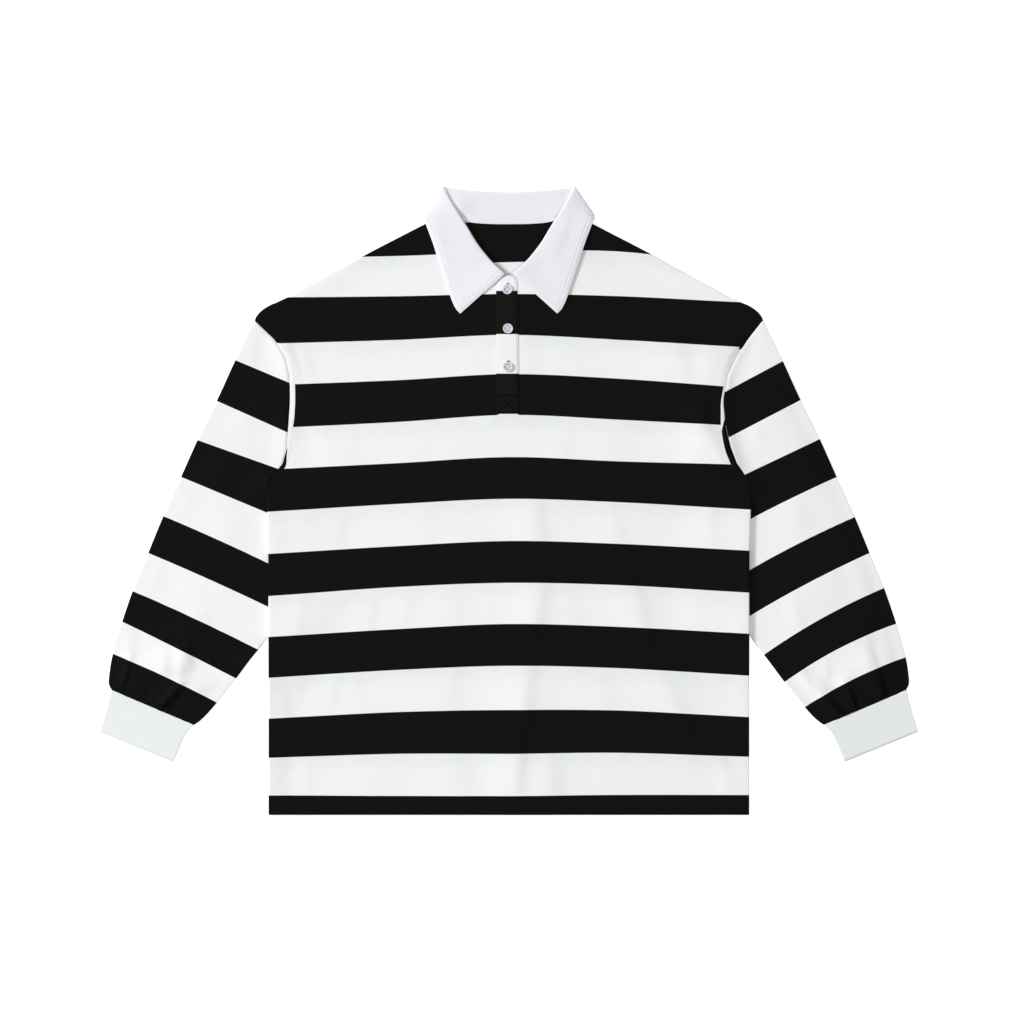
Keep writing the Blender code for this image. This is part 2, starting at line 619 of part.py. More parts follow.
def cuff_ring(outer, inner, reaches):
    """Points round a flattened cuff, at a reach from the middle of its thickness for each."""
    width = np.linalg.norm(inner - outer)
    direction = (inner - outer) / width
    radius = CUFF_HEIGHT / 2
    flat = width - 2 * radius
    arc = math.pi * radius / 2
    steps = len(reaches) - CUFF_UNDERSIDE_POINTS
    ring = []
    for step, reach in enumerate(reaches):
        if step >= steps:
            share = 1 - (step - steps) / (CUFF_UNDERSIDE_POINTS - 1)
            centre, angle = radius + flat * share, -math.pi / 2
        else:
            run = (2 * arc + flat) * step / (steps - 1)
            beyond = min(run - arc, 0) + max(run - arc - flat, 0)
            centre, angle = radius + min(max(run - arc, 0), flat), math.pi / 2 - beyond / radius
        place = outer + direction * (centre + reach * math.cos(angle))
        ring.append((*place, radius + reach * math.sin(angle)))
    return np.array(ring)


def build_cuff(name, side, material):
    """Ribbed cuff as a flattened tube, ribbed outside over its upper face, plain inside."""
    radius = CUFF_HEIGHT / 2
    ribbed = [radius - RIB_DEPTH * (step % 2) for step in range(2 * RIBS + 1)]
    outside = ribbed + [radius] * CUFF_UNDERSIDE_POINTS
    inside = [radius - RIB_CLOTH] * len(outside)
    surfaces = []
    for reaches in (outside, inside):
        rings = [cuff_ring(np.array(row[:2]), np.array(row[2:]), reaches) * (side, 1, 1)
                 for row in CUFF_RINGS]
        if side < 0:
            rings = [ring[::-1] for ring in rings]
        surfaces.append(np.vstack(rings))
    normals = (surfaces[0] - surfaces[1]) / RIB_CLOTH
    faces = grid_faces(len(CUFF_RINGS), len(outside), closed=True)
    body, faces = wall(surfaces[0], faces, RIB_CLOTH, normals)
    return mesh_object(name, body, faces, material)


# ---------------------------------------------------------------- armhole strips

def build_strip(name, side, material):
    """Lapped and topstitched armhole seam, made from the front's own points, moved out."""
    plan_grid, points = front_face()
    rows, columns, _ = plan_grid.shape
    normals = surface_normals(front_top, points[:, :2])
    first = BODY_ROWS.index(ARMPIT_Y) + 1
    last = rows - len(TOP_STEPS) + 1
    chosen = range(columns - 4, columns) if side > 0 else range(4)
    chosen = [c for c in chosen if c not in (1, columns - 2)]
    picked = [row * columns + c for row in range(first, last + 1) for c in chosen]
    face = points[picked] + normals[picked] * (LAY + STRIP_CLOTH)
    body, faces = wall(face, grid_faces(last + 1 - first, 3), STRIP_CLOTH)
    return mesh_object(name, body, faces, material)


# ---------------------------------------------------------------- collar and tape

def stack_top(points):
    """Height that the collar's leaves lie on: the front and, over it, the placket."""
    on_placket = (1 - ease(np.abs(points[:, 0] + 2), 15, 22)) * ease(points[:, 1], 96, 102)
    return lift(points) + plain_rise(points) + on_placket * (LAY + PLACKET_CLOTH)


def collar_section(station):
    """Points of the collar's middle surface at a station: stand, roll and fall."""
    seam_x, seam_y, roll_x, roll_y, edge_x, edge_y, level, turn = station
    seam, roll, edge = np.array([[seam_x, seam_y], [roll_x, roll_y], [edge_x, edge_y]])
    ground = lift(np.array([seam]))[0]
    front_seam = lift(np.array([seam]))[0] + plain_rise(np.array([seam]))[0] - CLOTH / 2
    seam_z = level * front_seam + (1 - level) * (ground + BACK_SEAM_RISE)
    leaf_low = stack_top(np.array([edge]))[0] + LEAF_LAY + COLLAR_CLOTH / 2
    edge_z = level * leaf_low + (1 - level) * COLLAR_CLOTH / 2
    roll_z = level * (front_seam + CLOTH / 2 + FRONT_ROLL_RISE) + (1 - level) * BACK_ROLL_Z
    radius = level * FRONT_ROLL_RADIUS + (1 - level) * BACK_ROLL_RADIUS
    to_seam = (seam - roll) / np.linalg.norm(seam - roll)
    to_edge = (edge - roll) / np.linalg.norm(edge - roll)
    inward = np.append(to_seam + to_edge, 0)
    inward /= np.linalg.norm(inward)
    swing = math.radians(turn)
    beside = np.append(to_edge - to_seam, 0)
    beside = beside - inward * (beside @ inward)
    beside /= max(np.linalg.norm(beside), 1e-6)
    across = np.array([0, 0, math.cos(swing)]) + beside * math.sin(swing)
    tip = np.append(roll, roll_z)
    bend = [tip + inward * radius * (1 - math.cos(math.radians(a)))
            + across * radius * math.sin(math.radians(a)) for a in ROLL_ANGLES]
    start, end = np.append(seam, seam_z), np.append(edge, edge_z)
    stand = [start + (bend[0] - start) * share for share in STAND_SHARES]
    leaf = []
    for share in LEAF_SHARES:
        point = bend[-1] + (end - bend[-1]) * share
        if level > 0.9:
            lowest = stack_top(point[None, :2])[0] + LEAF_LAY + COLLAR_CLOTH / 2
            point[2] = max(point[2], lowest)
        leaf.append(point)
    return np.array(stand + bend + leaf)


def build_collar(material):
    """Collar as one folded band from front end to front end."""
    half = [collar_section(station) for station in COLLAR_STATIONS]
    sections = half + [collar_section(COLLAR_CENTRE)] + [section * (-1, 1, 1) for section in half[::-1]]
    count = len(sections[0])
    faces = grid_faces(len(sections), count)
    middle = np.vstack(sections)
    normals = point_normals(middle, faces)
    turns = [row[7] for row in COLLAR_STATIONS]
    turns = np.array(turns + [COLLAR_CENTRE[7]] + turns[::-1])
    pressed = np.outer(np.exp(-((turns - 82) / 30)**2), CORNER_PRESS)
    thickness = COLLAR_CLOTH - pressed.ravel()
    outer = middle + normals * thickness[:, None] / 2
    body, faces = wall(outer, faces, thickness, normals)
    return mesh_object("collar", body, faces, material)


def build_tape(material):
    """Tape over the back neck seam, inside the collar."""
    middle = [station[:2] for station in COLLAR_STATIONS[13:]] + [COLLAR_CENTRE[:2]]
    middle += [(-x, y) for x, y in reversed(middle[:-1])]
    middle = curve_through(middle, steps=2) - (0, SEAM / 2)
    rows = []
    for shift in (-TAPE_WIDTH / 2, 0, TAPE_WIDTH / 2):
        plan = middle + (0, shift)
        rise = np.maximum(shift, 0) * (BACK_ROLL_Z + BACK_ROLL_RADIUS - COLLAR_LIFT - BACK_SEAM_RISE) / 34
        top = COLLAR_LIFT + BACK_SEAM_RISE + COLLAR_CLOTH / 2 + LAY + TAPE_CLOTH + rise
        rows.append(np.column_stack([plan, np.full(len(plan), top)]))
    columns = len(middle)
    face = np.vstack([row[::-1] for row in rows])
    body, faces = wall(face, grid_faces(3, columns), TAPE_CLOTH)
    return mesh_object("neck_tape", body, faces, material)


# ---------------------------------------------------------------- placket and buttons

def placket_face():
    """Plan grid of the over placket, from foot to curved top."""
    rows = []
    for share in np.linspace(0, 1, PLACKET_ROWS):
        lean = PLACKET_LEAN * (1 - share)
        row = []
        for x, top_y in PLACKET_TOP:
            part = (x - PLACKET_TOP[0][0]) / (PLACKET_TOP[-1][0] - PLACKET_TOP[0][0])
            row.append((x + lean * part, PLACKET_FOOT_Y + (top_y - PLACKET_FOOT_Y) * share))
        rows.append(row)
    return np.array(rows)


def build_placket(material):
    """Over placket, lying on the front."""
    plan_grid = placket_face()
    plan = plan_grid.reshape(-1, 2)
    top = lift(plan) + plain_rise(plan) + LAY + PLACKET_CLOTH
    body, faces = wall(np.column_stack([plan, top]), grid_faces(*plan_grid.shape[:2]), PLACKET_CLOTH)
    return mesh_object("placket", body, faces, material)


def build_under_placket(material):
    """Under placket that carries the buttons, inside the front."""
    y = np.linspace(PLACKET_FOOT_Y + 2, NECK_FRONT[0][1] - 5, PLACKET_ROWS)
    plan = np.array([(x, row) for row in y for x in UNDER_PLACKET_X])
    top = lift(plan) + plain_rise(plan) - CLOTH - LAY - 0.15
    faces = grid_faces(len(y), len(UNDER_PLACKET_X))
    body, faces = wall(np.column_stack([plan, top]), faces, UNDER_PLACKET_CLOTH)
    return mesh_object("placket_under", body, faces, material)


def ring_points(radius, z, count):
    """Points of a level circle."""
    angles = np.arange(count) * 2 * math.pi / count
    return [(radius * math.cos(a), radius * math.sin(a), z) for a in angles]


def turned(bm, profile, count):
    """Closed turned body from a profile of radius and height, bottom centre to top centre."""
    rings = [[bm.verts.new(point) for point in ring_points(r, z, count)] for r, z in profile]
    for low, high in zip(rings, rings[1:]):
        for k in range(count):
            bm.faces.new((low[k], low[(k + 1) % count], high[(k + 1) % count], high[k]))
    bm.faces.new(rings[0][::-1])
    bm.faces.new(rings[-1])


def turned_object(name, profile, count, place):
    """Turned body as an object of its own, placed in mm."""
    bm = bmesh.new()
    turned(bm, [(r * MM, z * MM) for r, z in profile], count)
    mesh = bpy.data.meshes.new(name)
    bm.to_mesh(mesh)
    bm.free()
    item = bpy.data.objects.new(name, mesh)
    item.location = [value * MM for value in place]
    bpy.context.scene.collection.objects.link(item)
    return item


def build_button(name, x, y, material):
    """Four-hole button with a dished face, just over the placket."""
    base = (lift(np.array([[x, y]])) + plain_rise(np.array([[x, y]])))[0]
    z = base + LAY + PLACKET_CLOTH + LAY
    edge = BUTTON_HEIGHT * 0.3
    profile = [(BUTTON_RADIUS - 1.2, 0), (BUTTON_RADIUS - 0.2, edge), (BUTTON_RADIUS, BUTTON_HEIGHT * 0.6),
               (BUTTON_RADIUS - 0.6, BUTTON_HEIGHT), (BUTTON_DISH_RADIUS, BUTTON_HEIGHT),
               (BUTTON_DISH_RADIUS - 0.6, BUTTON_HEIGHT - BUTTON_DISH)]
    button = turned_object(name, profile, 24, (x, y, z))
    button.data.materials.append(material)
    button.data.shade_smooth()
    button.data.set_sharp_from_angle(angle=math.radians(40))
    for number, (dx, dy) in enumerate([(1, 1), (-1, 1), (-1, -1), (1, -1)]):
        place = (x + dx * BUTTON_HOLE_OFFSET, y + dy * BUTTON_HOLE_OFFSET, z)
        drill = turned_object(f"{name}_drill_{number}", [(BUTTON_HOLE_RADIUS, -1), (BUTTON_HOLE_RADIUS, 4)],
                              8, place)
        drill.hide_render = True
        drill.display_type = "WIRE"
        cut = button.modifiers.new(f"hole_{number}", "BOOLEAN")
        cut.operation = "DIFFERENCE"
        cut.object = drill
    return button


# ---------------------------------------------------------------- materials

def material_of(name, colour, roughness):
    """Principled material of one part."""
    material = bpy.data.materials.new(name)
    material.use_nodes = True
    shader = material.node_tree.nodes["Principled BSDF"]
    shader.inputs["Base Color"].default_value = colour
    shader.inputs["Roughness"].default_value = roughness
    shader.inputs["Metallic"].default_value = 0
    return material


def main():
    for item in list(bpy.data.objects):
        bpy.data.objects.remove(item, do_unlink=True)
    black_cloth = material_of("black_striped_jersey", STRIPE_BLACK, 0.9)
    white_cloth = material_of("white_striped_jersey", STRIPE_WHITE, 0.9)
    collar_cloth = material_of("white_collar_twill", COLLAR_WHITE, 0.8)
    rib_cloth = material_of("white_rib_knit", CUFF_WHITE, 0.9)
    pearl = material_of("pearl_button", BUTTON_PEARL, 0.25)
    build_back(black_cloth)
    build_front(black_cloth)
    build_sleeve("sleeve_left", 1, GATHERS_LEFT, black_cloth)
    build_sleeve("sleeve_right", -1, GATHERS_RIGHT, black_cloth)
    build_cuff("cuff_left", 1, rib_cloth)
    build_cuff("cuff_right", -1, rib_cloth)
    build_strip("armhole_strip_left", 1, white_cloth)
    build_strip("armhole_strip_right", -1, white_cloth)
    build_collar(collar_cloth)
    build_tape(white_cloth)
    build_placket(white_cloth)
    build_under_placket(white_cloth)
    for name, x, y in BUTTONS:
        build_button(name, x, y, pearl)


main()
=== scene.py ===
"""Long-sleeved striped polo shirt, laid flat on its back on a pale table, seen from straight above.

Tables are in millimetres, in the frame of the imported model: +X is the wearer's left, +Y is
towards the collar and +Z is up from the table. Meshes are in metres.
"""
import math

import bpy
import numpy as np
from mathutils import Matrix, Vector


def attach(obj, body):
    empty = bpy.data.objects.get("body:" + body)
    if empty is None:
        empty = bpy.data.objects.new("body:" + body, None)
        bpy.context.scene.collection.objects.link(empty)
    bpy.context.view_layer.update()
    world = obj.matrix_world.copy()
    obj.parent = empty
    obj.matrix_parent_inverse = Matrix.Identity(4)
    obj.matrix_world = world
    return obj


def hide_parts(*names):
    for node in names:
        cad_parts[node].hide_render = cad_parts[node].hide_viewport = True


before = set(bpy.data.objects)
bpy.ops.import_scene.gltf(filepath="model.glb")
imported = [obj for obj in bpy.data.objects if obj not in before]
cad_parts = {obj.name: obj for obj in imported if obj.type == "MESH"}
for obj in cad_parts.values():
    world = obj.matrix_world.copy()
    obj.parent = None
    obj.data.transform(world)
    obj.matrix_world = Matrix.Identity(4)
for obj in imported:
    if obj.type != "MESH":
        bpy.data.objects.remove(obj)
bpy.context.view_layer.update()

MM = 0.001
LEFT, RIGHT = 1, -1       # the wearer's, as the sign of x
SIDES = {"left": LEFT, "right": RIGHT}

# Thickness of each cloth, in mm
CLOTH = 1.2
RIB_CLOTH = 1.7
COLLAR_CLOTH = 1.6
PLACKET_CLOTH = 1.0
UNDER_PLACKET_CLOTH = 1.0
TAPE_CLOTH = 0.6
RIM_BULGE = 0.3           # how far a raw edge is rounded out, as a share of the cloth

# Gaps between pieces, in mm
SEAM = 0.35               # front from back at the folds that they share
LAY = 0.3                 # pieces that lie on each other
PLACKET_LAY = 0.1         # placket on the front

# Heights of the laid garment, in mm
FOLD_HEIGHT = 5.0         # at a folded edge
LAID_HEIGHT = 3.6         # where two layers lie flat
PRESSED_HEIGHT = 3.0      # of a sleeve that the body lies on
CUFF_HEIGHT = 4.6
CUFF_SQUASH = 0.45        # how narrow the roll at a cuff's side is for its height
NECK_HEIGHT = 5.0         # below the neckline
FOLD_REACH = 30.0         # how far in from an edge the height of its fold carries
FOLD_ROUNDING = 1.0       # how far in from its edge a pressed fold is rounded
PLACKET_RISE = 0.9        # how much the under placket lifts the front
HEM_RISE = 1.0            # how much the turned-up hem lifts the front
SLEEVE_LIFT = PRESSED_HEIGHT + LAY
COLLAR_LIFT = COLLAR_CLOTH + LAY

# Stretches over which one height eases into another, as distances in mm
BESIDE_SLEEVE = (8, 90)   # body beside a sleeve that it lies on
BELOW_FALL = (8, 44)      # back below the collar's fall
BELOW_NECK = (15, 75)     # front below the neckline
BESIDE_PLACKET = (17, 48)
ABOVE_CUFF = (0, 16)      # sleeve above its cuff

# Where the body's weight on a sleeve ends, as x across and y down the body
PRESSED_X = (292, 352)
PRESSED_Y = (-195, -168)

# Where the collar's leaves come down beside and below the placket, as a distance from x -2 and y
LEAF_DROP_X = (15, 22)
LEAF_DROP_Y = (96, 102)

# Landmarks, in mm
HEM_Y = -375.2
CHEST_HALF = 287.4
ARMPIT_Y = 16.0
TIP_X, TIP_Y = 304.0, 215.7
NECK_X, NECK_Y = 71.6, 345.3
BODY_LEVEL_Y = 150.0      # rows of points run level up to here, then bend to neck and shoulder
HEM_DEPTH = 20.0

# Outlines of the +X side: x, y
SHOULDER = [(NECK_X, NECK_Y), (100, 331), (169, 295.5), (264, 243.8), (285, 234.3), (296, 227.2),
            (302, 220.3), (TIP_X, TIP_Y)]
SLEEVE_OUTER = [(TIP_X, TIP_Y), (327.4, 167.7), (349.2, 120), (372.2, 73.3), (392.2, 28.4),
                (413.5, -18.8), (431.4, -62.4), (449.3, -106), (462.9, -146), (474, -184.5),
                (478.4, -212), (478.2, -219.5), (475.3, -225.8)]
SLEEVE_TUCKED = [(288.8, 14), (287.8, 4), (286, -6), (283, -20), (276, -50), (270, -80),
                 (269.5, -110), (276, -138), (288.4, -163)]
SLEEVE_INNER = [(288.4, -163), (302.3, -180.5), (328.1, -215), (351.3, -244), (366.4, -260.6),
                (376.1, -267.8)]
SIDE = [(289, ARMPIT_Y), (289.5, 2), (288.2, -40), (CHEST_HALF, -90), (CHEST_HALF, HEM_Y)]
NECK_FRONT = [(0, 266), (12, 266.2), (22, 267.5), (37, 274), (51, 286.5), (59.5, 301), (65, 318),
              (69, 334), (NECK_X, NECK_Y)]
NECK_BACK = [(0, 333.5), (30, 333.6), (50, 335.6), (63, 339.6), (NECK_X, NECK_Y)]

# Armhole from armpit to shoulder tip: y, x on the wearer's left, x on the wearer's right
ARMHOLE = [(16, 289.0, 289.0), (20, 288.4, 288.3), (25, 286.4, 286.2), (31, 282.0, 281.3),
           (45, 272.6, 270.8), (63, 265.6, 265.4), (90, 258.8, 263.6), (120, 256.0, 261.8),
           (150, 261.5, 262.2), (171, 271.0, 266.6), (192, 285.0, 279.5), (212, 300.5, 300.6),
           (TIP_Y, TIP_X, TIP_X)]

# Levels of a sleeve's points down the armhole
ARMHOLE_ROWS = [TIP_Y, 215.2, 214.8, 212.5, *np.linspace(203, 45, 19), 38, 31, 25, 20, ARMPIT_Y]

# Width of the armhole seam: y, width
STRIP_WIDTHS = {LEFT: [(16, 5), (40, 7.4), (56, 8), (75, 7.4), (88, 6), (102, 4.6), (126, 2.4),
                       (170, 3.4), (203, 3)],
                RIGHT: [(16, 5), (42, 5.5), (80, 5), (100, 6.6), (140, 6.4), (170, 5), (203, 3)]}
LAP_GAP = 0.2             # between the sleeve and the seam's outer edge
LAP_WIDTH = 6.6           # width that the seam's knit pattern is laid over
STRIP_RISE = 0.03         # its edges above the front
STRIP_SWELL = 0.03        # its middle above its edges

# Columns of a panel: share of the half width on the body, x on the neckline and shoulder
COLUMNS = [(0, 0), (0.035, 10.6), (0.08, 24), (0.15, 38), (0.23, 51), (0.31, 60), (0.40, 67),
           (0.50, NECK_X), (0.60, 100), (0.70, 140), (0.79, 190), (0.87, 240), (0.935, 280),
           (0.976, 296.7), (0.9913, 301.0), (0.9975, 302.8), (1, TIP_X)]

# Spacing of a panel's points up the body and across it, in mm
FRONT_SPACING = (3.6, 3.8)
BACK_SPACING = (6.0, 6.5)
CHEST_ROWS = 28           # rows from BODY_LEVEL_Y to the closer ones at the top

# Where a panel's points are closer: distances from its top, its sides, its hem and the hem's
# seam, and levels at the armpit
TOP_STEPS = [24, 19, 14.5, 10.5, 7, 4.4, 2.6, 1.3, 0.5, 0]
SIDE_STEPS = [8, 6, 4.4, 3, 2, 1.2, 0.5, 0]
HEM_STEPS = [0, 0.7, 2, 5, 9, 13, 16.5]
HEM_SEAM_STEPS = [-1.5, -0.5, 0.5, 1.5, 4]
ARMPIT_ROWS = [ARMPIT_Y, 18, 20, 22.5, 25, 28, 31]

# Lower edges of the body's stripes, from the black shoulder stripe to the black hem: y at each
# of five places across
BODY_STRIPE_X = [-250, -130, 0, 130, 250]
BODY_STRIPES = [
    (290.1, 292.5, 297.3, 297.9, 283.0),
    (243.5, 244.7, 247.1, 244.7, 238.8),
    (188.6, 192.2, 198.1, 192.2, 185.0),
    (139.6, 144.4, 151.5, 146.1, 137.2),
    (88.2, 94.2, 102.5, 96.8, 90.6),
    (39.2, 45.2, 52.3, 47.2, 44.0),
    (-11.0, -3.8, 2.2, -1.8, -8.6),
    (-61.2, -54.0, -48.0, -51.4, -57.6),
    (-111.4, -103.0, -98.2, -100.9, -107.8),
    (-160.4, -153.2, -147.2, -150.6, -156.8),
    (-209.4, -202.2, -197.4, -200.2, -207.0),
    (-258.4, -252.4, -250.0, -250.6, -256.6),
    (-306.2, -302.6, -302.6, -301.4, -305.0),
    (-352.2, -352.8, -352.8, -351.6, -351.6),
]
STRIPE_WIDTH = 50.0       # in the flat cloth
FOOT_STRIPE = 4           # row of the stripe edge that the placket's foot pulls up
FOOT_STRIPE_PULL = 2.6    # how far it pulls that edge up
FOOT_STRIPE_X = -0.7      # middle of that pull, and how it ends at each side
FOOT_STRIPE_ENDS = (10, 12.5)
BACK_NECK_DROP = 12.0     # how much lower the shoulder stripe runs behind the neck

# Stripe edges down the placket and down each armhole seam, where they run on the slant
PLACKET_STRIPES = [301, 250.8, 199.0, 152.0, 103.8, 53]
STRIP_STRIPES = {LEFT: [288, 237.6, 181.4, 99.0, -22.9], RIGHT: [294, 243.5, 188.6, 64.3, -22.9]}
STRIP_SLANT = {LEFT: 16.0, RIGHT: 24.0}

# Edges of a sleeve's stripes from shoulder to cuff: x, y on the outer fold, x, y towards the
# inner fold, bulge of the middle towards the shoulder
SLEEVE_STRIPES = {LEFT: [
    (327.5, 167.1, 255.8, 128.8, 0),
    (349.1, 120.5, 261.8, 75.0, 0),
    (371.8, 73.9, 280.9, 30.8, 0),
    (392.1, 28.4, 289.3, -21.7, 1.0),
    (413.6, -19.4, 288.1, -82.7, 2.0),
    (431.5, -62.4, 290.5, -136.5, 2.5),
    (448.2, -104.2, 304.8, -184.3, 4.5),
    (462.6, -147.2, 329.9, -216.5, 5.5),
    (474.5, -186.7, 353.8, -246.4, 4.5),
], RIGHT: [
    (327.3, 168.3, 261.6, 140.8, 0),
    (349.4, 119.3, 264.0, 81.0, 0),
    (372.7, 72.7, 271.5, 36.8, 0),
    (391.8, 28.4, 290.3, -14.0, 0),
    (413.4, -18.2, 289.1, -74.3, 1.0),
    (431.3, -62.4, 290.3, -125.7, 1.0),
    (450.4, -107.8, 300.5, -177.8, 1.5),
    (462.3, -144.5, 326.1, -212.6, 0.5),
    (473.7, -182.6, 348.8, -241.0, 2.0),
]}

# Large soft folds of the front: x and y of each end, half width, height
FRONT_FOLDS = [
    (28, -20, 36, -350, 20, 0.7),
    (-60, -120, -40, -330, 26, -0.5),
    (-195, -105, -252, -150, 18, 0.8),
    (130, -110, 205, -215, 24, 0.7),
    (205, -120, 252, -330, 22, -0.6),
    (-245, 160, -215, 60, 16, 0.8),
    (240, 165, 222, 50, 16, 0.8),
]

# Waves that lift the body's sides: distance in from the side, y, half width, half length, height
SIDE_WAVES = {RIGHT: [(0, -232, 12, 34, 2.4), (0, -330, 12, 24, 1.8)], LEFT: [(24, -345, 13, 22, 1.3)]}

# Creases run from their upper to their lower end: x and y of each end, width of the steep side,
# height. The steep side is towards the wearer's left and the gentle side towards the right.
FRONT_CREASES = [
    (36, -60, 19, -240, 12, 1.8), (18, -190, 11, -400, 12, 3.0), (42, -290, 50, -400, 15, 1.8),
    (32, 20, 36, -70, 11, 1.3), (120, 5, 158, -135, 10.3, 1.1), (137, -85, 193, -240, 9, 1.5),
    (175, -190, 239, -330, 9, 1.3), (236, -270, 262, -360, 10.3, 1.23),
    (-203, 5, -206, -70, 10.3, 0.9), (-100, 5, -101, -70, 10.3, 0.6),
    (-121, -85, -126, -175, 9.1, 0.7), (-166, -85, -174, -180, 9.1, 0.8),
    (-62, -90, -64, -190, 12.5, 0.9), (-248, -92, -266, -195, 10.3, 1.1),
    (-285, -150, -285, -440, 13, 2.6), (-238, -180, -262, -250, 9.1, 0.8),
    (-195, -180, -220, -262, 6.8, 0.6), (-176, -185, -187, -245, 5.7, 0.4),
    (-238, -290, -241, -400, 9.1, 0.6), (-70, -180, -74, -290, 13.7, 0.88),
    (-60, -290, -66, -400, 13.7, 0.88), (-160, -290, -166, -400, 11.4, 0.62),
    (196, 214, 206, 130, 16, 2.1), (213, 140, 268, 22, 9, 2.2), (246, 90, 272, 30, 5.7, 0.88),
    (-279, 208, -251, 138, 8, 2.4), (-254, 196, -236, 150, 4.6, 0.79), (-262, 112, -264, 36, 12, 1.2),
    (-271, 0, -276, -60, 8, 0.3), (-232, 10, -240, -50, 10.3, 0.5), (238, 0, 246, -60, 9.1, 0.98),
    (262, -20, 268, -50, 5.7, 0.53), (60, 90, 62, 20, 11.4, 0.79), (120, 92, 128, 20, 13.7, 0.62),
    (-190, 95, -196, 20, 13.7, 0.7), (70, -90, 74, -200, 13.7, 0.88), (104, -180, 110, -300, 13.7, 0.7),
    (216, -95, 224, -190, 9.1, 0.7), (-40, 196, -42, 136, 9, 0.8),
]

# Ridge along the wearer's left armhole, beside which the sleeve drops
ARMHOLE_STEP = 4.4        # its height
STEP_WIDTHS = (12, 60)    # half widths on the sleeve's side and on the body's
STEP_INWARD = (5, 6)      # how far in from the armhole it runs, and how much further higher up
STEP_FURTHER = (125, 175)
STEP_FOOT = (14, 46)      # y where it starts and ends
STEP_HEAD = (180, 212)

# Gathers of a sleeve above its cuff, in mm across from the outer end of the cuff seam and up
# from the seam: foot, head, length, width of the steep side, height
GATHERS = {
    LEFT: [(31, 22, 72, 5.5, 3.2), (65, 66, 46, 3.6, 2.8), (83, 104, 50, 4.2, 3.4),
           (50, 46, 60, 7, 0.9), (96, 108, 40, 5, 0.6), (12, 6, 30, 5, 0.6)],
    RIGHT: [(11, 5, 56, 4, 3.2), (60, 80, 52, 4.2, 3.4), (30, 30, 60, 7, 0.9),
            (88, 95, 60, 7, 1.0), (44, 50, 40, 6, 0.7), (100, 106, 30, 5, 0.7)],
}

# Short pleats between the gathers, in the same columns
PLEATS = {
    LEFT: [(18, 13, 26, 2.4, 0.5), (37, 33, 24, 2.2, 0.6), (43, 41, 18, 2.0, 0.4),
           (57, 56, 26, 2.4, 0.5), (66, 66, 20, 2.0, 0.4), (86, 92, 26, 2.4, 0.6)],
    RIGHT: [(14, 12, 30, 2.4, 0.8), (21, 21, 22, 2.2, 0.5), (38, 37, 20, 2.2, 0.5),
            (50, 53, 26, 2.4, 0.6), (69, 77, 24, 2.2, 0.5), (80, 84, 26, 2.4, 0.6)],
}

# Painted shade in the pleats of the gathers, which darkens the black cloth: place across at the
# foot and at the top, length, half width and depth of the painted shade, from the cuff up
PLEAT_SHADES = {
    LEFT: [(26, 18, 44, 4.6, 0.85), (62, 62.6, 36, 2.6, 0.8), (80, 96, 38, 3.0, 0.85),
           (46, 44, 22, 2, 0.3)],
    RIGHT: [(14.5, 9, 38, 2.8, 0.7), (64, 84, 44, 4.2, 1.0), (24, 22, 22, 2, 0.3),
            (29, 31, 30, 2.2, 0.35)],
}

# Creases of a sleeve, on the +X side, with the same columns as the front's
SLEEVE_CREASES = {LEFT: [
    (306, 214, 290, 150, 8, 0.5), (420, -138, 431, -225, 10, 1.8), (336, -186, 362, -234, 7, 2.2),
    (360, -204, 400, -258, 6, 1.82), (400, -204, 413, -254, 4.8, 1.54), (380, -188, 378, -216, 3.6, 0.77),
    (318, -108, 309, -152, 6, 0.7), (340, -108, 349, -158, 6, 0.7), (425, -62, 434, -120, 9.6, 1.19),
    (296, 98, 302, 60, 6, 0.63), (330, 20, 345, -50, 14.4, 0.98), (300, -30, 310, -100, 12, 0.7),
    (375, -60, 392, -130, 13.2, 0.91), (404, -140, 412, -180, 7.2, 0.63), (352, 90, 364, 30, 14.4, 0.7),
], RIGHT: [
    (316, 214, 307, 168, 6, 1.3), (366, -92, 379, -146, 9.6, 0.4), (464, -144, 466, -206, 12, 3.2),
    (414, -176, 411, -218, 8, 2.2), (387, -172, 383, -208, 7, 2.0), (371, -128, 365, -158, 9, 1.1),
    (378, -152, 402, -228, 8.4, 2.1), (393, -210, 412, -256, 5.4, 1.54),
    (441, -202, 446, -238, 3.1, 0.77), (414, -218, 420, -242, 3.1, 0.7), (318, 104, 316, 78, 8.4, 0.56),
    (388, 14, 396, -30, 10.8, 0.7), (330, 0, 318, -60, 16.8, 0.91), (424, -76, 432, -112, 10.8, 0.77),
    (300, 130, 290, 70, 12, 0.63), (344, 60, 350, 0, 14.4, 0.63), (410, -150, 420, -190, 7.2, 0.56),
]}

# Fullness of a sleeve, in mm
SLEEVE_DOME = {LEFT: 2.0, RIGHT: 0.8}   # how much higher its middle lies than its sides
DOME_REACH = 18.0         # from a side to the full height of the dome
PUFF_HEIGHT = 2.6         # of the cloth that the cuff gathers
PUFF_PLACE = 30.0         # middle of that cloth above the cuff
PUFF_REACH = 23.0

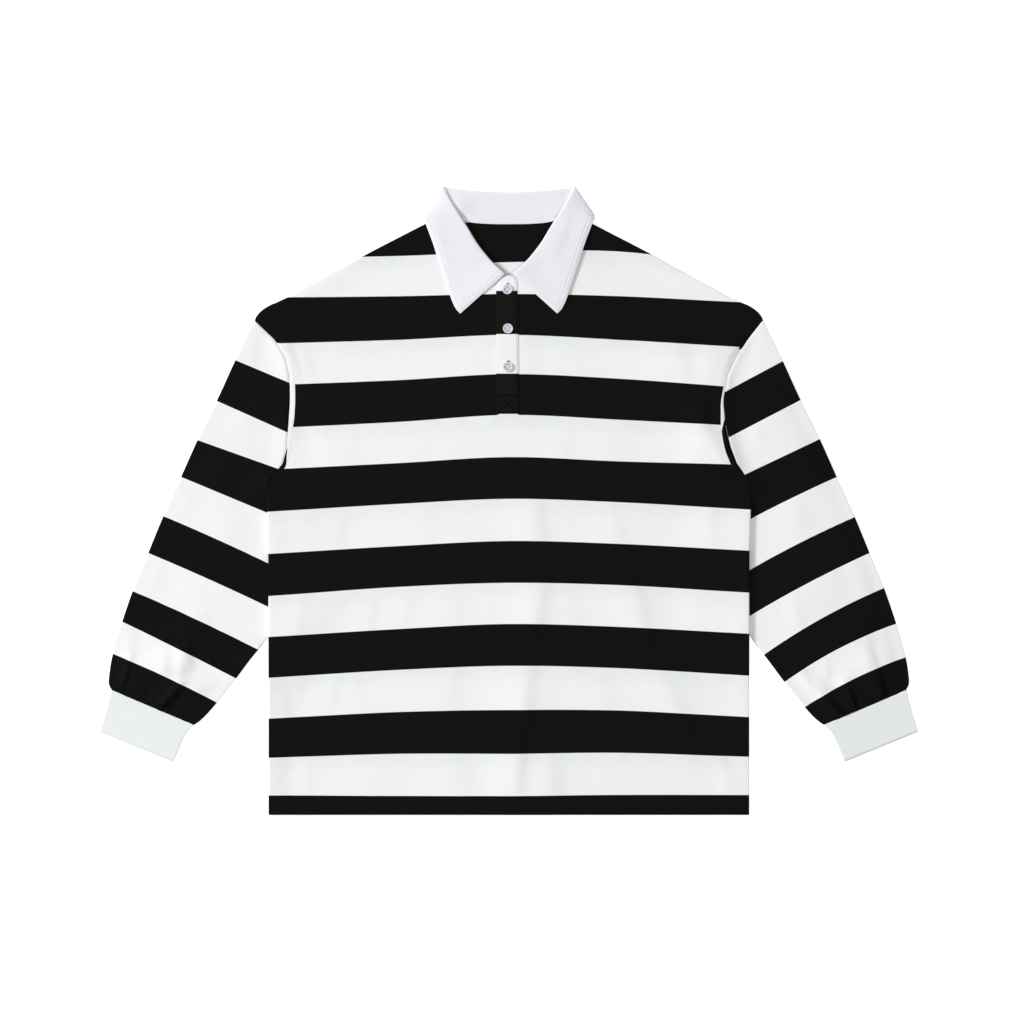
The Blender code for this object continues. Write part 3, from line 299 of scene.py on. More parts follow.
# A sleeve's rings: share of the way from armhole to cuff along its outer edge, along its inner
# edge, and how far the ring still follows the armhole's curve
SLEEVE_RINGS = [(0, 0, 1), (0.035, 0.022, 0.86), (0.11, 0.07, 0.52), (0.21, 0.14, 0.22),
                (0.32, 0.24, 0.06), (0.43, 0.35, 0), (0.54, 0.47, 0), (0.64, 0.58, 0),
                (0.73, 0.68, 0), (0.81, 0.77, 0), (0.87, 0.85, 0), (0.92, 0.91, 0),
                (0.955, 0.95, 0), (0.983, 0.98, 0), (1, 1, 0)]
RELAXED_RINGS = 7         # how many rings are evened out below the armhole
RELAX_PASSES = 300
EDGE_STEPS = [0, 1.1, 3.4]   # distances in from a folded edge of a ring's first points
RINGS_BETWEEN = 7
POINTS_BETWEEN = 4

# A cuff's rings: outer x, outer y, inner x, inner y
CUFF_RINGS = [(475.3, -225.7, 376.2, -267.9), (481.8, -250.8, 387.4, -280.8),
              (489.1, -276.0, 401.0, -312.0)]
CUFF_STEPS = 8            # rings between two of these
RIBS = 48                 # across the cuff, on each face
RIB_DEPTH = 0.15
POINTS_PER_RIB = 6
RING_IN_CLOTH = 10.0      # distance between two rings in the knit's pattern

# Collar stations from one front end round to the middle of the back neck:
# seam x, y, roll x, y, edge x, y, share of front level, turn from front fold to back fold (deg)
COLLAR_STATIONS = [
    (13.0, 267.4, 4.8, 271.1, 58.0, 223.9, 1, 0),
    (22.5, 268.9, 12.5, 277.8, 63.2, 229.6, 1, 0),
    (36.4, 275.6, 21.2, 286.0, 68.6, 241.0, 1, 0),
    (49.8, 287.8, 31.0, 297.5, 75.5, 262.0, 1, 0),
    (57.9, 301.6, 40.2, 310.0, 82.8, 283.0, 1, 0),
    (63.3, 318.0, 49.5, 325.5, 89.8, 305.0, 1, 4),
    (66.8, 332.0, 58.4, 339.8, 95.6, 321.0, 1, 16),
    (69.0, 341.0, 66.4, 352.6, 99.8, 332.0, 0.98, 42),
    (70.2, 345.2, 72.4, 363.2, 101.8, 336.0, 0.86, 62),
    (71.0, 347.4, 76.6, 371.6, 102.6, 339.4, 0.68, 78),
    (71.2, 348.4, 77.9, 375.2, 102.6, 341.0, 0.46, 92),
    (69.6, 346.6, 75.8, 374.7, 100.4, 339.6, 0.2, 110),
    (65.6, 342.4, 70.6, 373.6, 94.6, 334.2, 0, 145),
    (56.4, 338.2, 61.0, 372.4, 82.0, 328.4, 0, 168),
    (41.0, 335.4, 44.5, 370.6, 60.0, 324.0, 0, 180),
    (20.5, 334.1, 22.0, 369.0, 30.0, 321.4, 0, 180),
]
COLLAR_CENTRE = (0, 333.9, 0, 368.5, 0, 320.6, 0, 180)
STATIONS_BETWEEN = 6

# Heights of the collar, in mm
FRONT_ROLL_RADIUS = 1.4
BACK_ROLL_RADIUS = 1.8
FRONT_ROLL_RISE = 1.7     # middle of the roll above the front
BACK_ROLL_Z = 3.2
BACK_SEAM_RISE = 1.1      # back neck seam above the fall under it
LEAF_LAY = 0.6            # leaf above the front
LEAF_LIFT = 1.0           # how much higher the edge of the wearer's left leaf lies
CORNER_PRESS = 0.8        # how much thinner the roll is pressed where it turns at the shoulder
CORNER_TURN = 82          # turn in degrees where it is pressed most, and how far on each side
CORNER_SPREAD = 30
LEAF_THINNING = 0.7       # how much thinner a leaf is pressed at its edge
LEAF_THIN_REACH = 5.0     # how far in from the edge
FAR_IN = 40.0             # distance from a sewn edge given to what has none
STAND_HEIGHT = 34.0       # from the back neck seam up to the roll

# Points of a section through the collar: shares of the way from seam to roll and from roll to
# edge, and degrees round the roll
STAND_END = 0.92
STAND_SHARES = list(np.linspace(0, STAND_END, 9))
ROLL_ANGLES = list(range(-90, 91, 18))
LEAF_SHARES = list(np.linspace(0.06, 0.86, 17)) + [0.9, 0.93, 0.955, 0.975, 0.99, 1]

# Soft folds of the collar's leaves: x and y of each end, half width, height
COLLAR_FOLDS = [
    (72, 356, 46, 286, 9, 1.3), (92, 345, 84, 280, 7, 0.5),
    (-92, 342, -80, 262, 10, 1.2), (-60, 300, -58, 245, 9, -0.3), (60, 290, 62, 240, 8, 0.3),
]

# Folds of the stand inside the back neck, in the same columns
STAND_FOLDS = [(-66, 376, -56, 334, 10, 1.6), (-52, 374, -44, 334, 8, 0.5), (70, 376, 50, 340, 4, 0.5)]

# Neck tape, in mm
TAPE_SHIFTS = [-3, -2.6, -1.8, 0, 1.8, 2.6, 3]   # across the tape from its middle line

# Placket, in mm
PLACKET_X = -1.5          # its middle line
PLACKET_FOOT_Y = 104.0
PLACKET_TOP = [(-15.2, 252.0), (-14.0, 260.0), (-10.6, 266.4), (-5.0, 269.2), (1.5, 269.2),
               (6.5, 267.4), (10.0, 264.0)]
PLACKET_LEAN = 2.4        # how much wider it is at its foot
PLACKET_THINNING = 0.6    # how much thinner it is pressed at its edges
PLACKET_THIN_REACH = 2.6  # how far in from them
SLIT_FOOT_Y = 120.0       # lower end of the front's slit behind the placket
SLIT_HALF = 0.5           # half its gape
UNDER_PLACKET_X = [-12.5, -8.5, -4.5, -0.5, 3.5, 9.0]
UNDER_PLACKET_DROP = 0.45  # below the front's inner face
BOX_TOP_Y = 126.4         # upper seam of the crossed box at the placket's foot

# Buttons with four holes, in mm: node, x, y
BUTTONS = [("button_top", -1.9, 252.6), ("button_middle", -1.1, 205.9), ("button_bottom", -1.3, 160.2)]
BUTTON_RADIUS = 6.0
BUTTON_HEIGHT = 2.1
BUTTON_DISH_RADIUS = 3.9
BUTTON_DISH = 0.7
BUTTON_HOLE_RADIUS = 0.8
BUTTON_HOLE_OFFSET = 1.35
BUTTONHOLE_LENGTH = 14.8
BUTTONHOLE_GAPE = 1.5     # half the width that the button's shank opens it to
BUTTONHOLE_SHIFT = 0.7    # how far it lies right of and above the button's middle

# Stitches, in mm
STITCH_PITCH = 3.0
STITCH_LENGTH = 2.3
THREAD = 0.38             # thickness
RIM = 0.35                # half width of a buttonhole's stitched rim
COLLAR_STITCH_IN = 6.0    # distance in from the edge
PLACKET_STITCH_IN = 1.1
STRIP_STITCH_SHARES = (0.2, 0.8)   # places across the armhole seam


# ---------------------------------------------------------------- curves and distances

def curve_through(rows, steps=6):
    """A smooth curve through the rows of a table."""
    rows = np.array(rows, dtype=float)
    padded = np.concatenate([2 * rows[:1] - rows[1:2], rows, 2 * rows[-1:] - rows[-2:-1]])
    points = []
    for a, b, c, d in zip(padded, padded[1:], padded[2:], padded[3:]):
        for t in np.arange(steps) / steps:
            square, cube = 2 * a - 5 * b + 4 * c - d, 3 * b - a - 3 * c + d
            points.append((2 * b + (c - a) * t + square * t**2 + cube * t**3) / 2)
    points.append(rows[-1])
    return np.array(points)


def run_along(curve):
    """Distance travelled along a curve at each of its points."""
    return np.concatenate([[0], np.cumsum(np.linalg.norm(np.diff(curve, axis=0), axis=1))])


def along(curve, shares):
    """Points of a curve at shares of its length."""
    run = run_along(curve)
    wanted = np.asarray(shares, dtype=float) * run[-1]
    return np.column_stack([np.interp(wanted, run, curve[:, k]) for k in range(curve.shape[1])])


def distance_to(curve, points):
    """Distance in plan from each point to a curve."""
    start = curve[:-1]
    leg = curve[1:] - start
    nearest = np.full(len(points), np.inf)
    for a, b in zip(start, leg):
        reach = points - a
        share = np.clip(reach @ b / (b @ b), 0, 1)
        nearest = np.minimum(nearest, np.hypot(*(reach - share[:, None] * b).T))
    return nearest


def ease(value, low, high):
    """Smooth step from 0 at low to 1 at high."""
    t = np.clip((value - low) / (high - low), 0, 1)
    return t * t * (3 - 2 * t)


def finer(values, step):
    """The same increasing values with more put between them, no further apart than the step."""
    rows = [values[0]]
    for a, b in zip(values, values[1:]):
        count = max(math.ceil(abs(b - a) / step), 1)
        rows += [a + (b - a) * k / count for k in range(1, count + 1)]
    return rows


SHOULDER_LINE = curve_through(SHOULDER)
OUTER_LINE = curve_through(SLEEVE_OUTER)
UPPER_FOLD = np.vstack([SHOULDER_LINE, OUTER_LINE[1:]])
TUCKED_LINE = curve_through(SLEEVE_TUCKED)
INNER_LINE = np.vstack([TUCKED_LINE, curve_through(SLEEVE_INNER)[1:]])
SIDE_LINE = curve_through(SIDE)
FRONT_NECKLINE = curve_through(NECK_FRONT)
BACK_NECKLINE = curve_through(NECK_BACK)
FALL_EDGE = np.array([row[4:6] for row in COLLAR_STATIONS[10:]] + [COLLAR_CENTRE[4:6]])


# ---------------------------------------------------------------- heights

def folded(points):
    """The same points on the +X side."""
    return np.column_stack([np.abs(points[:, 0]), points[:, 1]])


def armhole_x(y, side):
    """Armhole's distance from the middle line at a height up the body."""
    rows = np.array(ARMHOLE)
    return np.interp(y, rows[:, 0], rows[:, 1 if side == LEFT else 2])


def body_edge(half):
    """Distance in from the folded edges of the body, for points on the +X side."""
    return np.minimum(distance_to(UPPER_FOLD, half), distance_to(SIDE_LINE, half))


def below_armpit(y):
    """How far a sleeve has gone under the body, from 0 at the armpit to 1."""
    return ease(ARMPIT_Y - 2 - y, 0, 20)


def lift(points):
    """Height of the back panel's underside, over the tucked sleeves and the collar's fall."""
    half = folded(points)
    x, y = half.T
    order = np.argsort(TUCKED_LINE[:, 1])
    tucked_x = np.interp(y, TUCKED_LINE[order, 1], TUCKED_LINE[order, 0])
    over_sleeve = (x > tucked_x) & (y > SLEEVE_TUCKED[-1][1]) & (y < SLEEVE_TUCKED[1][1])
    gap = np.where(over_sleeve, 0, distance_to(TUCKED_LINE, half))
    sleeve = SLEEVE_LIFT * (1 - ease(gap, *BESIDE_SLEEVE)) * below_armpit(y)
    edge_order = np.argsort(FALL_EDGE[:, 0])
    fall_y = np.interp(x, FALL_EDGE[edge_order, 0], FALL_EDGE[edge_order, 1])
    over_fall = (x < FALL_EDGE[:, 0].max()) & (y > fall_y)
    gap = np.where(over_fall, 0, distance_to(FALL_EDGE, half))
    collar = COLLAR_LIFT * (1 - ease(gap, *BELOW_FALL))
    return np.maximum(sleeve, collar) + side_waves(points)


def side_waves(points):
    """Height of the waves along the body's sides."""
    half = folded(points)
    total = np.zeros(len(points))
    for side, waves in SIDE_WAVES.items():
        for inward, y, width, length, height in waves:
            across, up = (half - (CHEST_HALF - inward, y)).T
            wave = height * np.exp(-(across / width)**2) * np.exp(-(up / length)**2)
            total += (points[:, 0] * side > 0) * wave
    return total


def fold_round(distance, height):
    """Upper surface of a pressed fold, at a distance in from its edge."""
    short = np.clip(1 - distance / FOLD_ROUNDING, 0, 1)
    return height / 2 * (1 + np.sqrt(1 - short**2))


def ridges(points, table):
    """Height of soft straight folds."""
    total = np.zeros(len(points))
    for x0, y0, x1, y1, width, height in table:
        a, b = np.array([x0, y0]), np.array([x1, y1])
        share = np.clip(((points - a) @ (b - a)) / ((b - a) @ (b - a)), 0, 1)
        gap = np.linalg.norm(points - (a + share[:, None] * (b - a)), axis=1)
        total += height * np.exp(-(gap / width)**2)
    return total


def creases(points, table, side=1):
    """Height of creases that bend a little, fade out at their ends and fall off steeply on one side."""
    total = np.zeros(len(points))
    for x0, y0, x1, y1, steep, height in table:
        a, b = np.array([x0, y0]), np.array([x1, y1])
        leg = b - a
        length = np.linalg.norm(leg)
        share = ((points - a) @ leg) / length**2
        aside = (points - a) @ np.array([-leg[1], leg[0]]) / length * side
        aside = aside + 0.03 * length * np.sin(share * math.pi + x0)
        width = np.where(aside > 0, steep, 2.6 * steep)
        fade = ease(share, -0.1, 0.4) * (1 - ease(share, 0.6, 1.1))
        total += height * fade * np.exp(-(aside / width)**2)
    return total


def armhole_step(points):
    """Low ridge along the wearer's left armhole, steep on the sleeve's side and gone at its ends."""
    x, y = points.T
    gap = x - armhole_x(y, LEFT) + STEP_INWARD[0] + STEP_INWARD[1] * ease(y, *STEP_FURTHER)
    width = np.where(gap > 0, *STEP_WIDTHS)
    fade = ease(y, *STEP_FOOT) * (1 - ease(y, *STEP_HEAD))
    return ARMHOLE_STEP * fade * np.exp(-(gap / width)**2)


def unevenness(points):
    """Slight waves of cloth pressed and smoothed by hand, 80 to 300 mm long and out of step."""
    x, y = points.T
    slow = np.sin(x / 31 + 0.7 * np.sin(y / 47)) * np.cos(y / 39 + 0.9 * np.sin(x / 53 + 1))
    quick = np.sin(x / 13.3 + y / 29 + 1.3 * np.sin(y / 37)) * np.sin(y / 17.9 - x / 41)
    return 0.14 * slow + 0.05 * quick


def plain_rise(points):
    """Height of the front's face above the back's underside, with no rounding at the folds."""
    half = folded(points)
    edge = body_edge(half)
    x, y = points.T
    laid = LAID_HEIGHT + ridges(points, FRONT_FOLDS) * ease(edge, 20, 60)
    near_neck = 1 - ease(distance_to(FRONT_NECKLINE, half), *BELOW_NECK)
    laid = laid + (NECK_HEIGHT - LAID_HEIGHT) * near_neck
    beside = 1 - ease(np.abs(x - PLACKET_X), *BESIDE_PLACKET)
    placket = PLACKET_RISE * beside * ease(y, PLACKET_FOOT_Y - 30, PLACKET_FOOT_Y - 4)
    hem = HEM_RISE * (1 - ease(y, HEM_Y + HEM_DEPTH - 1.5, HEM_Y + HEM_DEPTH + 2))
    small = creases(points, FRONT_CREASES) + unevenness(points)
    small = small * (1 - near_neck) + armhole_step(points)
    # The placket's layers hold the front smooth
    smoothed = 0.8 * beside * ease(y, PLACKET_FOOT_Y - 24, PLACKET_FOOT_Y + 1)
    laid = laid + small * ease(edge, 1, 9) * (1 - smoothed)
    return FOLD_HEIGHT + (laid + placket + hem - FOLD_HEIGHT) * ease(edge, 3, FOLD_REACH)


def front_top(points):
    """Height of the front panel's face above the table."""
    rounding = FOLD_HEIGHT - fold_round(body_edge(folded(points)), FOLD_HEIGHT)
    return lift(points) + plain_rise(points) - rounding


def back_under(points):
    """Height of the back panel's underside, curled up at the folds."""
    return lift(points) + FOLD_HEIGHT - fold_round(body_edge(folded(points)), FOLD_HEIGHT)


# ---------------------------------------------------------------- stripes

def between(value, edges):
    """Stripe count at each value, from the values of the stripe edges, which may differ by point."""
    edges = [np.broadcast_to(edge, value.shape) for edge in edges]
    count = np.zeros(value.shape)
    for k, (high, low) in enumerate(zip(edges, edges[1:])):
        place = (high - value) / (high - low)
        first, last = k == 0, k == len(edges) - 2
        inside = ((place >= 0) | first) & ((place < 1) | last)
        count = np.where(inside, k + place, count)
    return count


def body_stripes(points, behind_neck=0.0):
    """Stripe count on the body: whole numbers are stripe edges, and odd stripes are black."""
    table = np.column_stack([BODY_STRIPE_X, np.transpose(BODY_STRIPES)])
    ends = [1.5 * table[0] - 0.5 * table[1], 1.5 * table[-1] - 0.5 * table[-2]]
    spread = curve_through(np.vstack([ends[0], table, ends[1]]))
    drop = behind_neck * (1 - ease(np.abs(points[:, 0]), 50, 120)) * ease(points[:, 1], 210, 285)
    edges = [np.interp(points[:, 0], spread[:, 0], spread[:, 1 + k]) - drop
             for k in range(len(BODY_STRIPES))]
    if not behind_neck:
        pull = 1 - ease(np.abs(points[:, 0] - FOOT_STRIPE_X), *FOOT_STRIPE_ENDS)
        edges[FOOT_STRIPE] = edges[FOOT_STRIPE] + FOOT_STRIPE_PULL * pull
    return between(points[:, 1], edges)


def sleeve_stripes(points, table):
    """Stripe count on a sleeve, on the +X side."""
    past_edges = []
    for x0, y0, x1, y1, bulge in table:
        a, b = np.array([x0, y0]), np.array([x1, y1])
        leg = b - a
        share = ((points - a) @ leg) / (leg @ leg)
        aside = (points - a) @ np.array([leg[1], -leg[0]]) / np.linalg.norm(leg)
        bow = bulge * 4 * np.clip(share, 0, 1) * (1 - np.clip(share, 0, 1))
        past_edges.append(bow - aside)
    count = 1 + past_edges[0] / STRIPE_WIDTH
    for k, (past, next_past) in enumerate(zip(past_edges, past_edges[1:])):
        place = past / (past - next_past)
        count = np.where((past >= 0) & (next_past < 0), k + 1 + place, count)
    count = np.where(past_edges[-1] >= 0, len(table) + past_edges[-1] / STRIPE_WIDTH, count)
    return np.clip(count, 0.05, len(table) + 0.95)


# ---------------------------------------------------------------- meshes

def point_normals(points, faces):
    """Normal at each point, weighted by the area of the faces round it."""
    faces = np.array(faces)
    corners = points[faces]
    spread = np.cross(corners[:, 2] - corners[:, 0], corners[:, 3] - corners[:, 1])
    total = np.zeros_like(points)
    for k in range(4):
        np.add.at(total, faces[:, k], spread)
    return total / np.maximum(np.linalg.norm(total, axis=1), 1e-12)[:, None]


def grid_faces(rows, columns, closed=False):
    """Quads of a grid whose points run row by row, with its sides joined if it is closed."""
    faces = []
    for first in range(0, (rows - 1) * columns, columns):
        for k in range(columns if closed else columns - 1):
            a, b = first + k, first + (k + 1) % columns
            faces.append((a, b, b + columns, a + columns))
    return faces


def new_object(name, data):
    """Object in the scene, at its origin."""
    made = bpy.data.objects.new(name, data)
    bpy.context.scene.collection.objects.link(made)
    return made


def mesh_piece(name, points, faces, material, values=None, sharp=50):
    """One mesh piece from points in mm, with values per point as attributes or a UV map."""
    mesh = bpy.data.meshes.new(name)
    mesh.from_pydata((np.asarray(points) * MM).tolist(), [], [list(face) for face in faces])
    corner = np.zeros(len(mesh.loops), dtype=np.int32)
    mesh.loops.foreach_get("vertex_index", corner)
    for label, value in (values or {}).items():
        value = np.asarray(value, dtype=np.float32)
        if value.ndim == 2:
            layer = mesh.uv_layers.new(name=label)
            layer.data.foreach_set("uv", (value[corner] * MM).ravel())
        else:
            layer = mesh.attributes.new(label, "FLOAT", "POINT")
            layer.data.foreach_set("value", value)
    mesh.materials.append(material)
    mesh.shade_smooth()
    mesh.set_sharp_from_angle(angle=math.radians(sharp))
    return new_object(name, mesh)


def cloth_piece(name, points, faces, thickness, material, cloth, edge=None, normals=None, pleat_shade=None):
    """Thin closed shell with rounded raw edges under a face of quads.

    cloth is the place of each point in the flat cloth and edge its distance from the piece's
    finished edge, in mm, and the last argument is how much painted shade darkens the cloth there, in the
    pleats of gathers.
    """
    points = np.asarray(points, dtype=float)
    count = len(points)
    if normals is None:
        normals = point_normals(points, faces)
    thickness = np.broadcast_to(thickness, count)[:, None]
    inner = points - normals * thickness
    used = {(a, b) for face in faces for a, b in zip(face, tuple(face[1:]) + tuple(face[:1]))}
    rim = sorted((a, b) for a, b in used if (b, a) not in used)
    outward = np.zeros_like(points)
    for a, b in rim:
        out = np.cross(points[b] - points[a], normals[a] + normals[b])
        out /= max(np.linalg.norm(out), 1e-9)
        outward[a] += out
        outward[b] += out
    outward /= np.maximum(np.linalg.norm(outward, axis=1), 1e-9)[:, None]
    on_rim = sorted({a for edge_pair in rim for a in edge_pair})
    place = {index: 2 * count + k for k, index in enumerate(on_rim)}
    middle = (points + inner)[on_rim] / 2 + outward[on_rim] * thickness[on_rim] * RIM_BULGE
    body = np.vstack([points, inner, middle])
    body[:, 2] = np.maximum(body[:, 2], 0)
    all_faces = [tuple(face) for face in faces]
    all_faces += [tuple(index + count for index in reversed(face)) for face in faces]
    for a, b in rim:
        all_faces += [(b, a, place[a], place[b]), (place[b], place[a], a + count, b + count)]
    cloth = np.asarray(cloth, dtype=float)
    values = {"cloth": np.vstack([cloth, cloth, cloth[on_rim]])}
    for label, value in (("edge", edge), ("pleat_shade", pleat_shade)):
        if value is not None:
            values[label] = np.concatenate([value, value, value[on_rim]])
    return mesh_piece(name, body, all_faces, material, values, sharp=70)


# ---------------------------------------------------------------- body panels

def half_width(y, side):
    """Half width of the body: side line, then armhole, then level with the shoulder tip."""
    order = np.argsort(SIDE_LINE[:, 1])
    below = np.interp(y, SIDE_LINE[order, 1], SIDE_LINE[order, 0])
    return np.where(y <= ARMPIT_Y, below, np.where(y < TIP_Y, armhole_x(y, side), TIP_X))


def column(share, top_x, side, neckline, body_rows):
    """Plan points of a panel's column, from hem to neckline or shoulder."""
    edge = np.vstack([neckline, SHOULDER_LINE[1:]])
    top_y = np.interp(top_x, edge[:, 0], edge[:, 1])
    guide_y = min(top_y, TIP_Y + 0.9 * (TIP_X - top_x)) - TOP_STEPS[0]
    parts = np.linspace(0, 1, CHEST_ROWS + 1)[1:]
    upper = [BODY_LEVEL_Y + part * (guide_y - BODY_LEVEL_Y) for part in parts]
    upper += [top_y - step for step in TOP_STEPS[1:]]
    y = np.array(body_rows + upper)
    way_up = np.clip((y - BODY_LEVEL_Y) / (top_y - BODY_LEVEL_Y), 0, 1)
    place = share + (top_x / TIP_X - share) * way_up
    return np.column_stack([side * place * half_width(y, side), y])


def panel_columns(step):
    """Column table made finer, closest at the folds."""
    share, top_x = np.array(COLUMNS).T
    wide = finer(list(share * CHEST_HALF), step)[:-1]
    wide = [w for w in wide if w < CHEST_HALF - SIDE_STEPS[0]] + [CHEST_HALF - d for d in SIDE_STEPS]
    return [(w / CHEST_HALF, np.interp(w / CHEST_HALF, share, top_x)) for w in wide]


def panel_plan(columns, neckline, body_rows):
    """Plan grid of a panel, row by row, from the wearer's right to left."""
    right = [column(share, top_x, -1, neckline, body_rows) for share, top_x in reversed(columns)]
    left = [column(share, top_x, 1, neckline, body_rows) for share, top_x in columns[1:]]
    return np.stack(right + left, axis=1)


def seam_heights(plan_grid, heights, offset, armpit_row):
    """Part the front and back at their shared folds by moving those points up or down."""
    rows, columns, _ = plan_grid.shape
    heights = heights.reshape(rows, columns)
    heights[:armpit_row + 1, [0, -1]] += offset
    heights[-1, np.abs(plan_grid[-1, :, 0]) > NECK_X - 0.01] += offset
    return heights.ravel()


def body_rows_every(step):
    """Levels of a panel's rows up to the chest, closest at the hem and the armpit."""
    near_hem = [HEM_Y + d for d in HEM_STEPS] + [HEM_Y + HEM_DEPTH + d for d in HEM_SEAM_STEPS]
    body = finer([near_hem[-1] + step, ARMPIT_Y - 2], step)
    chest = finer([ARMPIT_ROWS[-1] + step, BODY_LEVEL_Y], step)
    return near_hem + body + ARMPIT_ROWS + chest


def build_front(material):
    """Front panel, slit behind the placket."""
    rows_y = body_rows_every(FRONT_SPACING[0])
    plan_grid = panel_plan(panel_columns(FRONT_SPACING[1]), FRONT_NECKLINE, rows_y)
    rows, columns, _ = plan_grid.shape
    plan = plan_grid.reshape(-1, 2)
    heights = seam_heights(plan_grid, front_top(plan), SEAM / 2, rows_y.index(ARMPIT_Y))
    points = np.column_stack([plan, heights])
    faces = grid_faces(rows, columns)
    middle = columns // 2
    slit = [row * columns + middle for row in range(rows) if plan_grid[row, middle, 1] > SLIT_FOOT_Y]
    extra = {index: len(points) + k for k, index in enumerate(slit)}
    points = np.vstack([points, points[slit]])
    points[slit, 0] -= SLIT_HALF
    points[list(extra.values()), 0] += SLIT_HALF
    split = []
    for face in faces:
        to_left = face[0] % columns >= middle
        split.append(tuple(extra.get(index, index) if to_left else index for index in face))
    cloth = np.column_stack([points[:, 0], body_stripes(points[:, :2]) * STRIPE_WIDTH])
    return cloth_piece("front_panel", points, split, CLOTH, material, cloth, points[:, 1] - HEM_Y)


def build_back(material):
    """Back panel, resting on the table."""
    rows_y = body_rows_every(BACK_SPACING[0])
    plan_grid = panel_plan(panel_columns(BACK_SPACING[1]), BACK_NECKLINE, rows_y)
    plan = plan_grid.reshape(-1, 2)
    heights = seam_heights(plan_grid, back_under(plan), -SEAM / 2, rows_y.index(ARMPIT_Y))
    faces = [tuple(reversed(face)) for face in grid_faces(*plan_grid.shape[:2])]
    points = np.column_stack([plan, heights])
    cloth = np.column_stack([plan[:, 0], body_stripes(plan, BACK_NECK_DROP) * STRIPE_WIDTH])
    return cloth_piece("back_panel", points, faces, CLOTH, material, cloth, plan[:, 1] - HEM_Y)


# ---------------------------------------------------------------- sleeves and cuffs

CUFF_ACROSS = (INNER_LINE[-1] - OUTER_LINE[-1]) / np.linalg.norm(INNER_LINE[-1] - OUTER_LINE[-1])
CUFF_UP = np.array([CUFF_ACROSS[1], -CUFF_ACROSS[0]])


def from_cuff(points):
    """Place of each point across from the outer end of the cuff's seam, and up from the seam."""
    return (points - OUTER_LINE[-1]) @ CUFF_ACROSS, (points - OUTER_LINE[-1]) @ CUFF_UP


def sleeve_edge(points):
    """Distance in from the nearer folded edge of a sleeve."""
    return np.minimum(distance_to(UPPER_FOLD, points), distance_to(INNER_LINE, points))


def sleeve_pressed(points):
    """How far the body presses a sleeve down, from 0 to 1."""
    x, y = points.T
    return below_armpit(y) * (1 - ease(x, *PRESSED_X)) * ease(y, *PRESSED_Y)


def sleeve_fold(points):
    """Height of a sleeve's folded edges."""
    fold = FOLD_HEIGHT + (PRESSED_HEIGHT - FOLD_HEIGHT) * sleeve_pressed(points)
    return fold + (CUFF_HEIGHT - fold) * (1 - ease(from_cuff(points)[1], *ABOVE_CUFF))


def gathered(across, up, edge, table, start, side):
    """Height of gathers that run up from the cuff and fade out, steep towards the wearer's left."""
    total = np.zeros(len(across))
    for foot, head, length, steep, height in table:
        share = np.clip(up / length, 0, 1)
        gap = (across - (foot + (head - foot) * share)) * -side
        fade = (1 - share)**0.7 * ease(up, start, 8) * ease(edge, 0.5, 5)
        total += height * fade * np.exp(-(gap / np.where(gap > 0, steep, 2.2 * steep))**2)
    return total


def painted_pleat_shade(points, table):
    """Painted shade in the pleats of the gathers, from 0 to 1."""
    across, up = from_cuff(points)
    total = np.zeros(len(points))
    for foot, head, length, width, depth in table:
        share = np.clip(up / length, 0, 1)
        gap = across - (foot + (head - foot) * share)
        total += depth * (1 - share**2) * (0.5 + 0.5 * ease(up, 0, 6)) * np.exp(-(gap / width)**2)
    return np.minimum(total, 1)


def sleeve_top(points, side):
    """Height of a sleeve's upper face, on the +X side."""
    across, up = from_cuff(points)
    edge = sleeve_edge(points)
    fullness = PUFF_HEIGHT * np.exp(-((up - PUFF_PLACE) / PUFF_REACH)**2) * ease(edge, 0, 22)
    fullness += gathered(across, up, edge, GATHERS[side], 0, side)
    fullness += gathered(across, up, edge, PLEATS[side], -2, side)
    pressed = sleeve_pressed(points)
    from_body = points[:, 0] - armhole_x(points[:, 1], side)
    fullness += SLEEVE_DOME[side] * ease(edge, 0, DOME_REACH) * ease(from_body, 12, 70) * ease(up, 6, 60)
    small = creases(points, SLEEVE_CREASES[side], side) + unevenness(points)
    if side == LEFT:
        small = small + armhole_step(points)
    fullness += small * ease(edge, 1, 10) * (1 - pressed)
    laid = LAID_HEIGHT + (PRESSED_HEIGHT - LAID_HEIGHT) * pressed
    laid = laid + (CUFF_HEIGHT - laid) * (1 - ease(up, *ABOVE_CUFF))
    fold = sleeve_fold(points)
    return (laid + fullness - fold) * ease(edge, 3, FOLD_REACH) + fold_round(edge, fold)


def sleeve_under(points):
    """Height of a sleeve's underside, curled up at its folded edges."""
    fold = sleeve_fold(points)
    return fold - fold_round(sleeve_edge(points), fold)


def armhole_path(side):
    """The armhole from shoulder tip to armpit, on the +X side."""
    return np.column_stack([armhole_x(ARMHOLE_ROWS, side), ARMHOLE_ROWS])


def across_shares(path):
    """Shares of the way along a path at its points."""
    run = run_along(path)
    return run / run[-1]


def direction_at(line, share):
    """Unit direction of a line at a share of its length."""
    a, b = along(line, [max(share - 0.01, 0), min(share + 0.01, 1)])
    return (b - a) / np.linalg.norm(b - a)


def edge_points(line, share, inward, lean):
    """Three points in from a folded edge, leaning along the ring; inward is 1 to the left."""
    point = along(line, [share])[0]
    run = direction_at(line, share)
    normal = np.array([-run[1], run[0]]) * inward
    heading = normal + lean
    return point + np.outer(EDGE_STEPS, heading / (heading @ normal))


